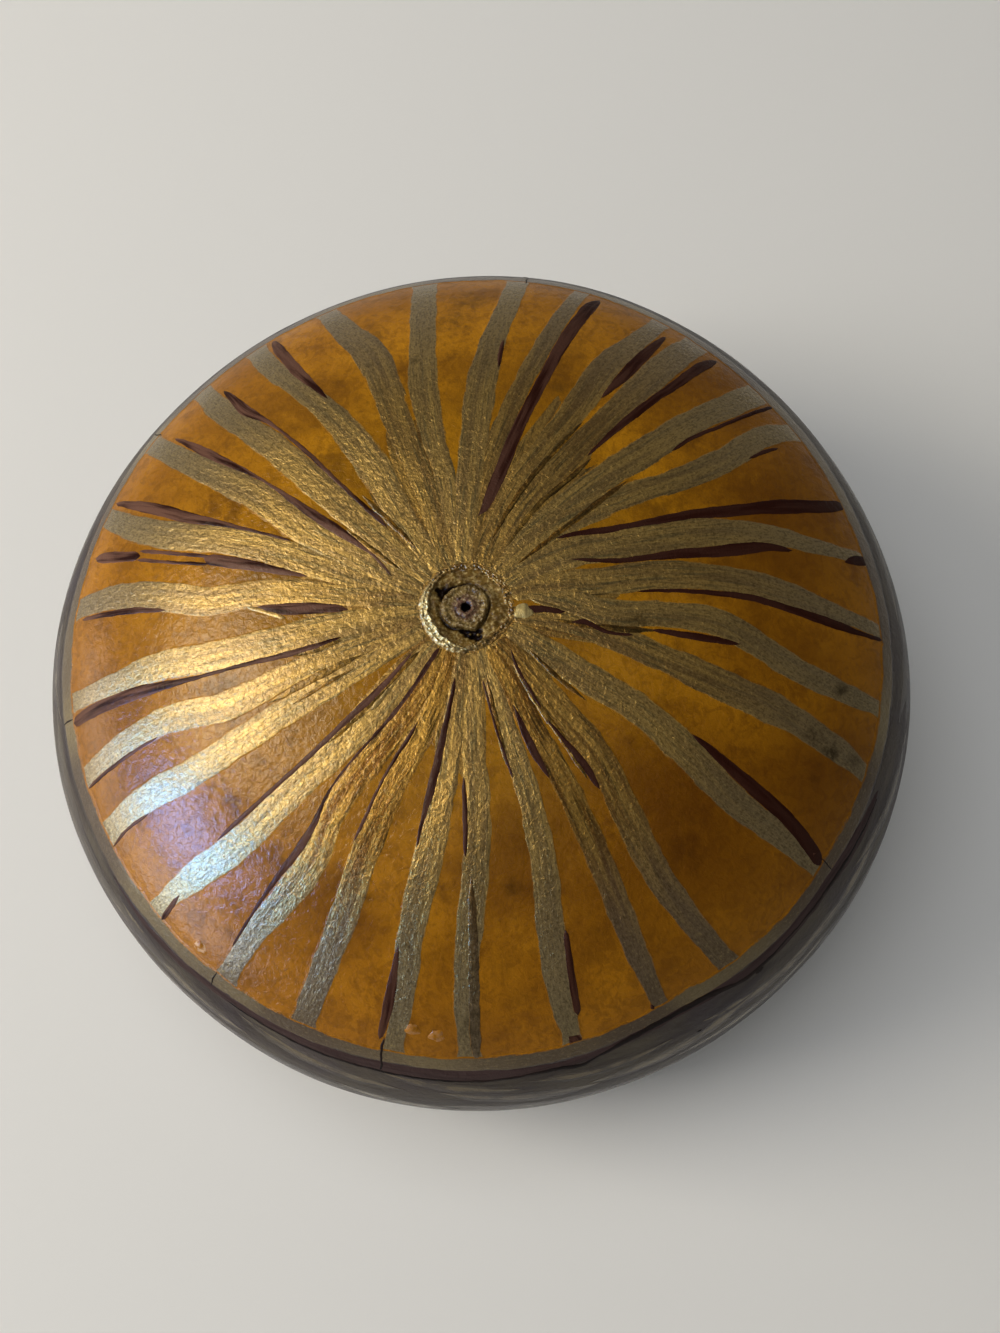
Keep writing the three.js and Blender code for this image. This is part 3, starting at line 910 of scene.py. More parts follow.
for number, places in enumerate(HAIR_LINES):
    lay_places(stripes, places, np.linspace(places[0][0], places[-1][0], 30), lift=0.05, cover=0.85, tone=0.9,
               seed=60 + number, edge_size=0.05)

# %% [markdown]
# Over the bronze went a few thin strokes of brown, most of them near the scar. The longest and thickest is
# the first, at the front. They use the same paint recipe, with a strong smudge that turns it brown.

# %% Brown strokes over the bronze, and the piece of all stripes
# Brown paint that was brushed over the bronze: arc, bearing and width
BROWNED = (
    ((42, 271.2, 0.6), (48, 271.3, 1.2), (56, 271.2, 1.5), (64, 271.0, 1.6), (71, 271.0, 1.6)),
    ((20, 194.5, 0.6), (24, 195.0, 1.2), (28, 195.3, 0.7)),
    ((18, 204.6, 0.5), (22, 204.8, 1.1), (28, 205.2, 1.2), (34, 205.6, 0.7)),
    ((20, 209.2, 0.4), (25, 209.0, 0.6), (31, 209.4, 0.4)),
    ((10, 224.5, 0.7), (16, 225.4, 1.1), (24, 225.8, 1.2), (30, 225.4, 0.7)),
    ((11, 41.5, 0.4), (18, 40.8, 0.8), (24, 40.4, 1.0), (30, 40.3, 0.9), (34, 40.2, 0.5)),
    ((12, 58.0, 0.4), (20, 57.0, 0.7), (28, 53.2, 0.8), (33, 52.2, 0.6)),
    ((12, 70.5, 0.4), (20, 67.0, 0.8), (30, 62.8, 0.8), (38, 60.2, 0.6)),
    ((13, 128.0, 0.5), (20, 129.6, 0.8), (26, 130.6, 0.5)),
    ((12, 148.0, 0.5), (18, 146.0, 0.8), (24, 144.5, 0.6)),
    ((12, 308.0, 0.5), (18, 305.5, 0.8), (26, 305.0, 0.9), (33, 304.0, 0.5)),
    ((12, 324.0, 0.4), (18, 321.0, 0.6), (24, 320.5, 0.4)),
    ((12, 285.5, 0.4), (19, 284.5, 0.7), (26, 284.0, 0.5)),
    ((14, 351.0, 0.5), (20, 350.5, 0.9), (26, 351.5, 0.9), (30, 352.5, 0.5)),
)
for number, places in enumerate(BROWNED):
    cover, smudge = (0.5, 0.7) if number else (1.0, 0.6)
    arc = np.arange(places[0][0], places[-1][0] + STEP / 2, STEP)
    lay_places(stripes, places, arc, lift=0.054, cover=cover, tone=0.2, seed=80 + number, ends=(3, 3),
               edge_size=0.12, edge_wave=4, smudge=smudge)
stripes.build("bronze_stripes", bronze)

# %% [markdown]
# ## The bronze field round the scar
# Close to the scar the strokes were laid over one another until hardly any rind shows. That field is one
# thin sheet under the stripes. It ends in a point between each pair of stripes, and these points were read
# from the picture as bearing and arc; under a stripe it runs on a little, out of sight.

# %% Points where the rind begins between two stripes
GAPS = (
    (-78.5, 16), (-67, 17), (-57, 19), (-39.3, 17), (-21, 14), (-7, 24), (3, 25), (19, 19), (35, 20.5),
    (41, 33), (51.5, 34), (59.5, 40), (78, 22), (82.5, 31), (94.5, 22), (104.7, 38), (116, 32),
    (131, 22), (144.5, 26), (156.5, 31), (167, 29), (182.3, 28), (194, 22), (205.3, 24), (218, 11),
    (233.5, 29), (244.6, 26), (257.5, 23), (268, 29),
)


def field_edge(bearing):
    """The outer arc of the field on each bearing."""
    points = sorted((b % 360, a) for b, a in GAPS)
    where, reach = [], []
    for (b, a), (b2, a2) in zip(points, points[1:] + [(points[0][0] + 360, points[0][1])]):
        where += [b, (b + b2) / 2]
        reach += [a, max(a, a2) + 5]
    where, reach = np.array(where), np.array(reach)
    return np.interp(bearing, np.concatenate([where - 360, where, where + 360]), np.tile(reach, 3))


# %% [markdown]
# The field is a closed grid from under the collar out to that edge, which wanders as the stripes' edges do.
# On the right of the scar the rind shows in a small wedge where no brush went: there the cover falls to none.

# %% Lay the field
FIELD_COLUMNS, FIELD_ROWS, FIELD_START = 720, 34, 7.2
WEDGE_BEARING, WEDGE_END, WEDGE_LENGTH = 4.6, 12.5, 4.5
field_bearings = np.arange(FIELD_COLUMNS) * 360 / FIELD_COLUMNS
edge_arc = field_edge(field_bearings) + 0.8 * wander(field_bearings, 77, 1.0, 9)
share = np.linspace(0, 1, FIELD_ROWS)[:, None] ** 1.1
arc = FIELD_START + share * (edge_arc - FIELD_START)[None, :]
bearing = np.broadcast_to(field_bearings, arc.shape)
wedge = (field_bearings - WEDGE_BEARING + 180) % 360 - 180
narrow = np.clip((WEDGE_END - arc) / WEDGE_LENGTH, 0, 1)
bare = np.clip(2.0 - np.abs(wedge + 2.6 * (1 - narrow)) / (2.4 * narrow + 0.2), 0, 1) * (arc < WEDGE_END)
lift = np.broadcast_to(0.018 * (1 - share**8) - 0.03 * share**8, arc.shape)
field_faces = grid_faces(FIELD_ROWS, FIELD_COLUMNS, closed=True)
make_piece("bronze_field", (bronze,), skin(bearing, arc, lift), field_faces, {
    "across": bearing * 0.32, "along": arc + 400, "edge": np.broadcast_to(share, arc.shape),
    "cover": 0.78 - 1.4 * bare, "tone": 0.4 + stained(bearing, arc, GILDED), "arc": arc,
    "smudge": stained(bearing, arc, SMUDGES),
})

# %% [markdown]
# ## The maroon lines
# Beside most stripes runs a line of dark maroon ink, swelling and thinning as the pen turned. They were read
# the same way, each as a list of places: arc, then the bearings of its two edges.

# %% Ink lines
INK_LINES = (
    ((27, 269.2, 270), (33, 269.5, 270.7), (39, 269.8, 270.4)),
    ((12, -77.7, -76.7), (20, -76.8, -76), (28, -75.4, -74.8)),
    ((52, -73.7, -72.9), (58.5, -74.8, -73.8), (65, -75.4, -74.4)),
    ((17.5, -65.4, -64.8), (21, -66.8, -64.4), (24, -67.2, -64.3), (30, -65.2, -64.6)),
    ((9.8, -45.5, -44), (11.6, -50.4, -48.6), (15.5, -53.9, -52.4), (20, -55.1, -54.3)),
    ((22, -55.8, -55.2), (27, -55.7, -54), (31, -55.5, -53.3), (35.5, -55.2, -54.6)),
    ((40, -30.7, -30.2), (44, -32.1, -30.5), (48, -33.2, -31.1), (53, -34.1, -31.6), (59, -34.5, -32.3),
     (65, -35.5, -33.4), (67.5, -35.9, -34), (69.3, -35.9, -34.7)),
    ((7.4, 71, 77.5), (7.9, 72, 76.5), (8.4, 73.5, 75)),
    ((9.2, -1.5, 1.6), (10.2, -5, 1.4), (11.5, -5, 0.9), (13, -4.3, 0), (15, -4.6, -2), (15.8, -3.6, -3)),
    ((16.5, -9.6, -8.8), (18.5, -9.4, -6.6), (20, -10.4, -8), (22, -11.6, -10.2), (26, -10.8, -10)),
    ((29, -8, -7.2), (33, -8.5, -6.8), (38, -8.5, -6.8), (43, -8, -7.4)),
    ((7.45, 0, 18), (7.75, 1, 18), (8.1, 6, 13)),
    ((27, 5.2, 5.7), (31, 4.7, 5.5), (40, 3, 4.2), (45, 2, 3.4), (50, 0.5, 1.8), (60, -1.8, -0.3),
     (65, -2, -1.3), (70, -2, -1.4)),
    ((18.5, 25.5, 26), (20, 22.8, 24), (25, 17.2, 19), (30, 15.3, 17.2), (35, 13.8, 16.5), (40, 12.6, 15.3),
     (45, 12, 14.9), (50, 12.2, 14), (54, 11.6, 12.2)),
    ((64, 9.4, 10), (67, 9.4, 11), (70.5, 9.5, 11)),
    ((18.6, 38.6, 39.6), (20.6, 35.6, 37.4), (23, 32.6, 34.8), (25, 30, 32.6), (30, 27, 28.8),
     (35, 24.5, 26.8), (40, 23, 25.3), (45, 21, 23.8), (50, 20.1, 22.6), (55, 19, 21.9), (60, 18.4, 20.9),
     (65, 18.2, 20.3), (69.5, 18.6, 20.1)),
    ((55, 30.6, 31), (58, 30.7, 31.3), (62, 30.6, 31.1)),
    ((44, 39.5, 40), (47, 39.5, 40.2), (55, 38.5, 39.1), (65, 37.9, 38.5), (69, 37.9, 38.4)),
    ((33, 53.2, 53.8), (35, 52.8, 53.6), (40, 51.7, 53.2), (45, 50.7, 52.6), (50, 50.1, 51.7),
     (55, 49.3, 51.1), (60, 49, 50.9), (65, 48.8, 50.5), (68, 49, 49.6)),
    ((44, 59.5, 59.9), (50, 57.6, 59.9), (55, 57.2, 59.5), (60, 57.2, 58.8), (65, 57.5, 58)),
    ((15.5, 83, 83.8), (17, 78.6, 82.6), (20, 76, 81.5), (25, 74.3, 79.3), (30, 73.8, 78), (35, 73.2, 76.5),
     (40, 72.4, 75.3), (45, 71.8, 74.3), (50, 71.3, 73.8), (55, 70.7, 73.2), (60, 70.1, 72.4),
     (65, 69.7, 71.7), (68, 69.8, 70.4)),
    ((44, 83.3, 83.7), (47, 83.2, 84.1), (50.5, 83.3, 83.7)),
    ((46, 121.2, 121.6), (50, 121.5, 122.8), (55, 121.8, 124), (60, 122, 124), (65, 122, 123.8),
     (69, 122.3, 122.9)),
    ((19, 131.9, 132.6), (21, 131.5, 133.4), (25, 132.2, 133.6), (30, 132.6, 133.6), (40, 132.6, 133.6),
     (45, 133.1, 133.6), (50, 133.4, 134.3), (55, 133.7, 135.9), (60, 133.8, 135.1), (64, 134, 134.4)),
    ((13, 154.4, 155.6), (15.5, 149.7, 151), (17.8, 147.7, 148.8), (22, 145.3, 148.4), (25, 144.7, 148.3),
     (30, 144.6, 147.6), (35, 144.6, 146.3), (40, 144.7, 145.2), (45, 144.5, 145.4), (50, 144.5, 146),
     (55, 144.5, 146.3), (60, 144.8, 145.8), (64, 145.1, 145.5)),
    ((31, 156.2, 156.8), (40, 157.2, 158), (45, 157.3, 158.8), (50, 157.4, 159.7), (55, 157.2, 159.5),
     (60, 157.3, 159.3), (65, 157.6, 158.8), (69, 157.8, 158.3)),
    ((26, 166.4, 167), (30, 165.7, 167.6), (35, 165.1, 167.8), (40, 165, 168), (44, 165.4, 167.6)),
    ((43, 165.5, 166.2), (50, 165.9, 166.5), (57, 166, 166.6)),
    ((43, 167.3, 168), (50, 167.8, 168.3), (57, 167.6, 168.2)),
    ((56.5, 166.4, 168), (60, 166.5, 168.3), (65, 166.5, 168.3), (68, 166.9, 167.8)),
    ((18.5, 179.4, 180.2), (20, 177.6, 180.7), (23, 176.7, 180.9), (30, 177.2, 180.3), (33, 177.7, 178.3)),
    ((49, 177.6, 178), (55, 176.7, 177.8), (60, 176.8, 177.7), (67, 177, 177.4)),
    ((20, 192.6, 193.2), (23, 192.8, 194.6), (28, 193.2, 195), (35, 193, 194), (45, 192.6, 193.4),
     (50, 191.7, 193.4), (55, 191, 193.3), (60, 191, 193.2), (65, 191.1, 193.1), (69.6, 191.5, 193.2)),
    ((53, 201, 201.3), (58, 201.1, 201.6), (64, 201.5, 202), (70, 202, 202.4)),
    ((60, 211.2, 211.6), (65, 210.8, 211.2), (70, 211.2, 211.5)),
    ((11, 220.6, 221.8), (15, 222.6, 225), (20, 223.2, 226.4), (25, 223.4, 225.6), (30, 223.6, 225),
     (35, 223.5, 224.6), (40, 223.2, 224), (45, 222.9, 223.7), (50, 222.6, 223.2), (53, 222.6, 222.8)),
    ((64, 223.6, 224), (68, 223.4, 224.2), (70.5, 223.4, 224)),
    ((7.6, 236, 240), (10, 236, 240), (15, 237, 239), (20, 236.3, 238), (25, 235.2, 236), (28, 234.4, 235),
     (36, 234, 234.5), (41, 235, 236.3), (44, 235, 236.7), (47, 235, 236.4), (50, 234.8, 235.8),
     (55, 234.7, 235.2), (64, 234.5, 234.8)),
    ((20, 248, 248.9), (23, 246.6, 248), (26, 245.6, 246.6), (30, 245, 245.6), (38, 245, 245.6),
     (40, 245, 245.3)),
    ((11.5, 261, 263.4), (15, 260.6, 262.8), (20, 259.6, 262.2), (25, 259, 261.8), (30, 258.6, 260.9),
     (34, 258.7, 259.6), (38, 258.8, 259.2)),
    ((53, 258.7, 259.1), (57, 258.4, 259.5), (61, 258.1, 259.7), (65, 258.0, 259.2), (68.5, 257.9, 258.5)),
)
# Blunt ends and ticks, where the pen was set down: arc, then the bearings of the two edges
TICKS = (
    ((68.5, -77.2, -76.4), (69.2, -77.1, -75.2), (70.4, -76.7, -75.1)),
    ((68.0, -65.5, -65.0), (69.4, -65.4, -64.8)),
    ((66.6, -35.4, -34.2), (68.9, -35.6, -34.2)),
)


# %% [markdown]
# The ink is paler and browner towards the left and nearly black at the right: partly thinner ink, partly
# painted light on the side that the lamps reach. A line is laid like a stripe, but steadier and a little
# higher, so that it lies on the paint.

# %% Lay the ink lines
def ink_along(ribbons, places, number, **how):
    arcs, first, second = np.array(places, float).T
    arc = np.arange(arcs[0], arcs[-1] + STEP / 2, STEP)
    one, other = smooth_through(arc, arcs, first), smooth_through(arc, arcs, second)
    width = np.maximum(np.abs(other - one) * degree_length(arc), 0.25) + 0.15
    ribbons.lay((one + other) / 2, arc, width, lift=0.058 + 0.002 * (number % 4), seed=200 + number,
                columns=5, edge_size=0.07, edge_wave=4.0, **how)


ink = Ribbons()
for number, places in enumerate(INK_LINES):
    # paler towards the left: thinner ink there, and painted light
    thin_and_lit_at_left = 0.5 - 0.5 * math.cos(math.radians(places[-1][1] + 10))
    ink_along(ink, places, number, cover=0.95, ends=(1.2, 1.0), tone=0.08 + 0.85 * thin_and_lit_at_left**1.5)
for number, places in enumerate(TICKS, 70):
    ink_along(ink, places, number, cover=1.1, ends=(0.25, 0.25))
ink.build("maroon_lines", maroon)

# %% [markdown]
# ## Ring, side coat and swoops
# A line of greyed bronze runs right round, where the base turns down into the side. Under it the side was
# coated smoky grey-brown, and over that coat went long curved swoops of thin bronze, like the scallops of a
# hanging curtain. At the front a thin black line follows the ring. The picture shows the side only as far
# as the widest level; lower down it is carried on in the same way.

# %% Side coat
COAT_COLUMNS, COAT_ROWS, COAT_TOP, COAT_LIFT, COAT_SINK = 480, 80, 71.6, 0.04, 0.02
coat_bearings = np.arange(COAT_COLUMNS) * 360 / COAT_COLUMNS
top = COAT_TOP + 0.25 * wander(coat_bearings, 31, 1.0, 24)
bottom = rim_arc(coat_bearings) - SHORT_OF_THE_CUT
share = np.linspace(0, 1, COAT_ROWS)[:, None]
arc = top[None, :] + share * (bottom - top)[None, :]
bearing = np.broadcast_to(coat_bearings, arc.shape)
lift = np.clip(np.minimum(share, 1 - share) * COAT_ROWS, 0, 1) * COAT_LIFT - COAT_SINK
coat_points = skin(bearing, arc, np.broadcast_to(lift, arc.shape))
coat_faces = grid_faces(COAT_ROWS, COAT_COLUMNS, closed=True)
make_piece("side_coat", (side_paint,), coat_points, coat_faces,
           {"across": arc, "along": bearing * 1.28, "arc": arc})

# %% [markdown]
# The ring isn't even: it looks drawn in several pulls of the brush, and it is narrow where two of them meet.
# Its upper and lower edges were read from the picture all the way round.

# %% Ring: bearing, then the arcs of its upper and lower edge
RING = (
    (0, 69.2, 72.4), (20, 68.6, 72.6), (45, 68.9, 72.7), (70, 69.4, 72.8), (95, 69.7, 72.8),
    (120, 69.8, 72.9), (145, 69.8, 72.8), (160, 69.4, 71.6), (172, 69.1, 72.2), (185, 69.2, 73.0),
    (205, 69.5, 73.4), (222, 69.9, 73.6), (236, 70.2, 73.3), (250, 70.3, 73.2), (262, 70.2, 72.9),
    (275, 70.0, 73.0), (286, 69.6, 72.6), (294, 69.0, 71.9), (300, 68.7, 71.5), (306, 69.2, 71.9),
    (316, 69.5, 72.3), (327, 69.0, 71.9), (338, 69.2, 72.4), (360, 69.2, 72.4),
)
trim = Ribbons()
where, upper, lower = np.array(RING).T
bearing = np.linspace(-3, 359, 620)
top = np.interp(bearing % 360, where, upper) + 0.15 * wander(bearing, 42, 1.0, 13)
foot = np.interp(bearing % 360, where, lower) + 0.12 * wander(bearing, 43, 1.0, 17)
trim.lay(bearing, (top + foot) / 2, foot - top + 0.3, lift=0.068,
         cover=0.85 + 0.1 * wander(bearing, 44, 1.0, 30), tone=0.3 + 0.5 * wander(bearing, 45, 1.0, 40),
         seed=301, columns=10, ends=(2, 2), edge_size=0.16, edge_wave=6)
trim.build("edge_ring", ring_bronze)

# %% [markdown]
# The swoops are long shallow strokes. The first ones were read from the picture. The rest, which the picture
# doesn't show, come from a seeded draw in rows down the side, so that they are the same on each run.

# %% Swoops of thin bronze
# Bearing and arc of one end, of the other, how far it hangs, and width
SWOOPS = (
    (239, 75.6, 262, 79.5, 0.6, 2.6), (259, 75.4, 276, 78.2, 0.5, 1.8),
    (266, 79.0, 286, 81.6, 0.8, 3.2), (277, 76.2, 296, 77.0, 0.9, 1.6),
    (284, 80.5, 308, 78.5, 1.2, 3.0), (300, 76.8, 318, 80.6, 0.6, 2.4),
    (216, 76.0, 241, 80.5, 0.6, 2.8), (312, 79.0, 336, 77.5, 1.0, 2.6),
)
ROWS = (76.0, 79.5, 84.0, 89.5, 96.0, 103.0, 110.0, 117.0)
# Where the picture shows the side, so the draw adds nothing: from and to which bearing, down to which arc
SEEN_FROM, SEEN_TO, SEEN_DOWN = 214, 338, 83
draw = np.random.default_rng(9)
strokes = [(*places, 0.45) for places in SWOOPS]
for top in ROWS:
    first = draw.uniform(0, 25)
    while first < 372:
        reach, start, drop = draw.uniform(14, 36), top + draw.uniform(-1.2, 1.2), draw.uniform(-2.0, 4.5)
        seen = SEEN_FROM < (first + reach / 2) % 360 < SEEN_TO and top < SEEN_DOWN
        if not seen:
            hang, width, cover = draw.uniform(0.3, 2.2), draw.uniform(2.4, 5.0), draw.uniform(0.15, 0.5)
            strokes.append((first, start, first + reach, start + drop, hang, width, cover))
        first += reach * draw.uniform(0.6, 1.0)
print("swoops:", len(strokes))

# %% [markdown]
# Each swoop hangs between its two ends like a slack string. It is widest in the middle and runs out thin at
# both ends, as one pull of a loaded brush does.

# %% Lay the swoops
HIGHEST, LOWEST = 74.0, 122.0
share = np.linspace(0, 1, 44)
swoops = Ribbons()
for number, (first, start, last_bearing, end, hang, width, cover) in enumerate(strokes):
    bearing = first + share * (last_bearing - first)
    arc = np.clip(start + (end - start) * share + hang * np.sin(share * math.pi), HIGHEST, LOWEST)
    swoops.lay(bearing, arc, 0.8 + width * np.sin(share * math.pi) ** 0.7, lift=0.034 + 0.003 * (number % 5),
               cover=cover + 0.15 * wander(share * 60, 700 + number, 1.0, 25), tone=draw.uniform(0, 0.7),
               seed=320 + number, columns=7, ends=(5, 5), edge_size=0.3, edge_wave=9)
swoops.build("side_swoops", side_bronze)

# %% [markdown]
# The black line starts at a crease on the left, runs round the front and ends on the right, with a strip of
# brown between it and the ring. Places: bearing, arc, width.

# %% Black line and brown strip under the ring
FRONT_LINE = (
    (236, 74.2, 0.25), (243, 74.6, 0.35), (250, 75.0, 0.45), (257, 75.0, 0.5), (265, 75.3, 0.45),
    (272, 75.2, 0.5), (277, 74.6, 0.5), (281, 74.3, 0.9), (284.5, 74.7, 0.6), (286, 74.0, 0.3),
    (289, 73.0, 0.9), (293, 72.2, 1.2), (297, 71.9, 1.1), (301, 72.0, 1.3), (304, 72.7, 1.1),
    (306.5, 73.8, 0.8), (309, 74.0, 0.9), (311.5, 74.0, 0.7), (314, 73.7, 0.4), (320, 73.6, 0.5),
    (324, 73.5, 0.8), (326, 73.6, 1.0), (328.5, 73.7, 0.5), (333, 74.0, 0.4), (337, 74.2, 0.2),
)
STRIP = (
    (214, 73.6, 74.4), (225, 73.6, 75.2), (236, 73.0, 74.5), (250, 73.0, 75.0), (262, 72.6, 75.2),
    (272, 72.7, 75.2), (280, 72.9, 74.6), (286, 72.6, 74.0), (290, 72.0, 73.4), (297, 71.2, 72.8),
    (303, 71.6, 73.2), (308, 72.0, 74.2), (316, 72.0, 74.4), (324, 71.6, 74.2), (331, 72.0, 75.0),
    (338, 72.6, 74.8),
)
line = Ribbons()
where, arcs, widths = np.array(FRONT_LINE).T
bearing = np.linspace(where[0], where[-1], 420)
width = smooth_through(bearing, where, widths) + 0.1
line.lay(bearing, smooth_through(bearing, where, arcs), width, lift=0.082, cover=0.95,
         tone=0.5, seed=401, columns=5, ends=(3, 3), edge_size=0.12, edge_wave=5)

strip = Ribbons()
where, upper, lower = np.array(STRIP).T
bearing = np.linspace(where[0], where[-1], 300)
top, foot = smooth_through(bearing, where, upper), smooth_through(bearing, where, lower)
strip.lay(bearing, (top + foot) / 2, foot - top + 0.2, lift=0.074, cover=0.75, tone=0.5,
          seed=402, columns=6, ends=(10, 8), edge_size=0.2, edge_wave=8)
strip.build("brown_strip", brown_ink)

# %% [markdown]
# A few dark specks and fine cracks break the ring and the side. They are as dark as the line, so they belong
# to its piece.

# %% Specks and cracks
# Specks: bearing, arc and size
SPECKS = ((299.3, 78.9, 0.7), (309.5, 74.6, 1.6), (82.5, 75.0, 0.9))
# Small cracks across the ring: bearing, first and last arc, width
CREASES = (
    (191.6, 69.6, 73.2, 0.4), (234.2, 70, 74.0, 0.35), (258.7, 68, 75.5, 0.45),
    (325.4, 68.6, 72.6, 0.3), (82.0, 69, 73.5, 0.35), (145.3, 69, 73.2, 0.3),
)
for number, (middle, middle_arc, size) in enumerate(SPECKS):
    share = np.linspace(-1, 1, 9)
    line.lay(middle + share * size / 2.4, middle_arc + 0 * share, np.full(9, size * 0.7), lift=0.082,
             cover=0.9, tone=0.5, seed=410 + number, columns=5, ends=(size / 3, size / 3), edge_size=0.05,
             edge_wave=3)
for number, (middle, first, last_arc, width) in enumerate(CREASES):
    arc = np.arange(first, last_arc, 0.5)
    bearing = middle + 0.15 * wander(arc, 60 + number, 1.0, 5)
    line.lay(bearing, arc, np.full_like(arc, width), lift=0.084, cover=0.75, tone=1.0,
             seed=430 + number, columns=5, ends=(1.2, 1.2), edge_size=0.05)
line.build("black_line", black_ink)

# %% [markdown]
# ## The blossom scar
# Where the flower sat, a gourd keeps a corky scar: a low broken collar, a dry floor that cracks as it
# shrinks, and in its middle the stub of the style, a small woody button with a pinhole. The brush went over
# the collar; its pale gold at the lower left is painted highlight. All three pieces are round reliefs: a grid
# in polar steps, with a height for each place, and a plain foot below.


# %% A round relief, in the scar's own place
SCAR_AROUND = 300


def scar_place(x, y, z):
    """Millimetres from the middle of the scar on the crown, z up the growth axis, to metres in the frame."""
    return (lean(x, y, z + BASE_RISE - INSET) + SHIFT) * MM


def ripple(angle, parts):
    """A sum of waves round the scar: (times round, size, phase in degrees)."""
    return sum(size * np.cos(times * (angle - math.radians(phase))) for times, size, phase in parts)


def relief(name, slot, material, inner, outer, foot, height, steps, values):
    """inner and outer give radii, height gives z, each for angle (and radius) in the scar."""
    angle = np.arange(SCAR_AROUND) * 2 * math.pi / SCAR_AROUND
    near_edge, far_edge = inner(angle), outer(angle)
    rows = []

    def put(share, z=None):
        radius = near_edge + (far_edge - near_edge) * share
        level = height(radius, angle, share) if z is None else z
        points = scar_place(radius * np.cos(angle), radius * np.sin(angle), level)
        rows.append((points, radius, angle, np.full_like(angle, share)))

    for share in np.linspace(0, 1, steps):
        put(share)
    outer_top, inner_top = height(far_edge, angle, 1.0), height(near_edge, angle, 0.0)
    for down in (0.5, 1.0):
        put(1.0, outer_top + (foot - outer_top) * down)
    for share in (0.66, 0.33, 0.0):
        put(share, np.full_like(angle, foot))
    put(0.0, foot + (inner_top - foot) * 0.5)
    faces = grid_faces(len(rows), SCAR_AROUND, closed=True).tolist()
    last = (len(rows) - 1) * SCAR_AROUND
    for column in range(SCAR_AROUND):
        after = (column + 1) % SCAR_AROUND
        faces.append([column, after, last + after, last + column])
    points, radius, angles, shares = (np.concatenate(part) for part in zip(*rows))
    return make_piece(name, (material,), points, faces, values(radius, angles, shares))


# %% [markdown]
# Bumps on the scar come from a value noise computed here, so that they are real relief and the same each run.

# %% A seeded height noise
def rough(x, y, size, seed):
    """Smooth random heights between -1 and 1, with lumps about this size in millimetres."""
    draw = np.random.default_rng(seed)
    total = np.zeros(np.broadcast(x, y).shape)
    for _ in range(14):
        way = draw.uniform(0, 2 * math.pi)
        wave = size * draw.uniform(0.8, 1.9)
        along = (x * math.cos(way) + y * math.sin(way)) / wave
        total = total + np.sin(along * 2 * math.pi + draw.uniform(0, 6.28))
    return total / 5


def bump_at(x, y, place, size):
    """A round swelling of height 1 at a place."""
    return np.exp(-((x - place[0]) ** 2 + (y - place[1]) ** 2) / (2 * size**2))


# %% [markdown]
# The collar is a low, broken, lumpy lip, round only at first sight. Its outer edge runs almost straight from
# corner to corner, and so does the edge of the stub in the middle. Both were read from the picture.

# %% Corners of the collar and of the stub
# Corners of its outer edge and of the stub's, read from the picture: degrees round the scar and radius
COLLAR_CORNERS = (
    (7, 7.5), (28, 7.3), (53, 7.15), (76, 7.5), (97, 7.5), (123, 7.6), (145, 7.35), (166, 7.6),
    (192, 7.35), (215, 7.35), (240, 7.5), (258, 7.65), (289, 7.25), (308, 7.15), (326, 7.3), (348, 7.6),
)
STUB_CORNERS = (
    (19, 3.75), (45, 3.95), (66, 3.9), (86, 4.0), (104, 3.75), (121, 3.95), (140, 4.0), (163, 4.1),
    (193, 4.05), (225, 3.95), (257, 3.5), (280, 3.75), (291, 4.15), (303, 3.75), (344, 3.4),
)


def cornered(angle, corners):
    """A radius that runs almost straight from corner to corner."""
    where, radii = np.array(corners, float).T
    return np.interp(np.degrees(angle) % 360, where, radii, period=360)


# %% [markdown]
# The lip stands highest at the lower left, and slopes from near its inner edge down to the rind. Its pale
# gold there is painted highlight, where that side faces the lamps, and the torn places between stay dark.

# %% Collar
def collar_outer(angle):
    return cornered(angle, COLLAR_CORNERS) + ripple(angle, ((19, 0.05, 4), (31, 0.03, 2)))


def collar_inner(angle):
    broad = 0.75 * np.exp(-((np.degrees(angle) - 203) / 32) ** 2)
    torn = ripple(angle, ((1, 0.12, 215), (5, 0.16, 20), (9, 0.13, 50), (17, 0.07, 8)))
    return collar_outer(angle) - 1.25 - broad - torn


def facing_left(angle):
    return 0.5 + 0.5 * np.cos(angle - math.radians(208))


def collar_height(radius, angle, share):
    x, y = radius * np.cos(angle), radius * np.sin(angle)
    slope = np.clip(share / 0.2, 0, 1) ** 1.2 * np.clip((1 - share) / 0.8, 0, 1) ** 0.8
    torn = 0.14 * np.sin(share * 11 + 1.5 * np.sin(3 * angle)) * facing_left(angle)
    chips = 0.16 * rough(x, y, 1.0, 5) + 0.13 * rough(x, y, 0.45, 6) + torn
    crest = 0.06 + 0.62 * facing_left(angle) ** 1.5
    return 0.02 - 0.1 * (1 - share) ** 2 + slope * crest + chips * np.sin(share * math.pi) ** 0.6


def collar_values(radius, angle, share):
    x, y = radius * np.cos(angle), radius * np.sin(angle)
    band = np.clip(share / 0.15, 0, 1) * np.clip((1 - share) / 0.3, 0, 1)
    # gilt here is painted highlight: pale cream where the lip faces the lamps at the left
    gilt = facing_left(angle) ** 4 * band * np.clip(0.85 + 0.7 * rough(x, y, 0.8, 21), 0.1, 1.3)
    cracks = np.clip(1.5 * rough(x, y, 0.7, 22) - 0.6, 0, 1) + 0.7 * np.exp(-((share - 0.55) / 0.1) ** 2)
    return {"across": angle * 6, "along": radius, "edge": np.full_like(radius, 0.3),
            "cover": 0.62 + 0.3 * share, "arc": radius, "tone": 0.12 + 1.1 * gilt,
            "smudge": 0.8 * cracks * band}


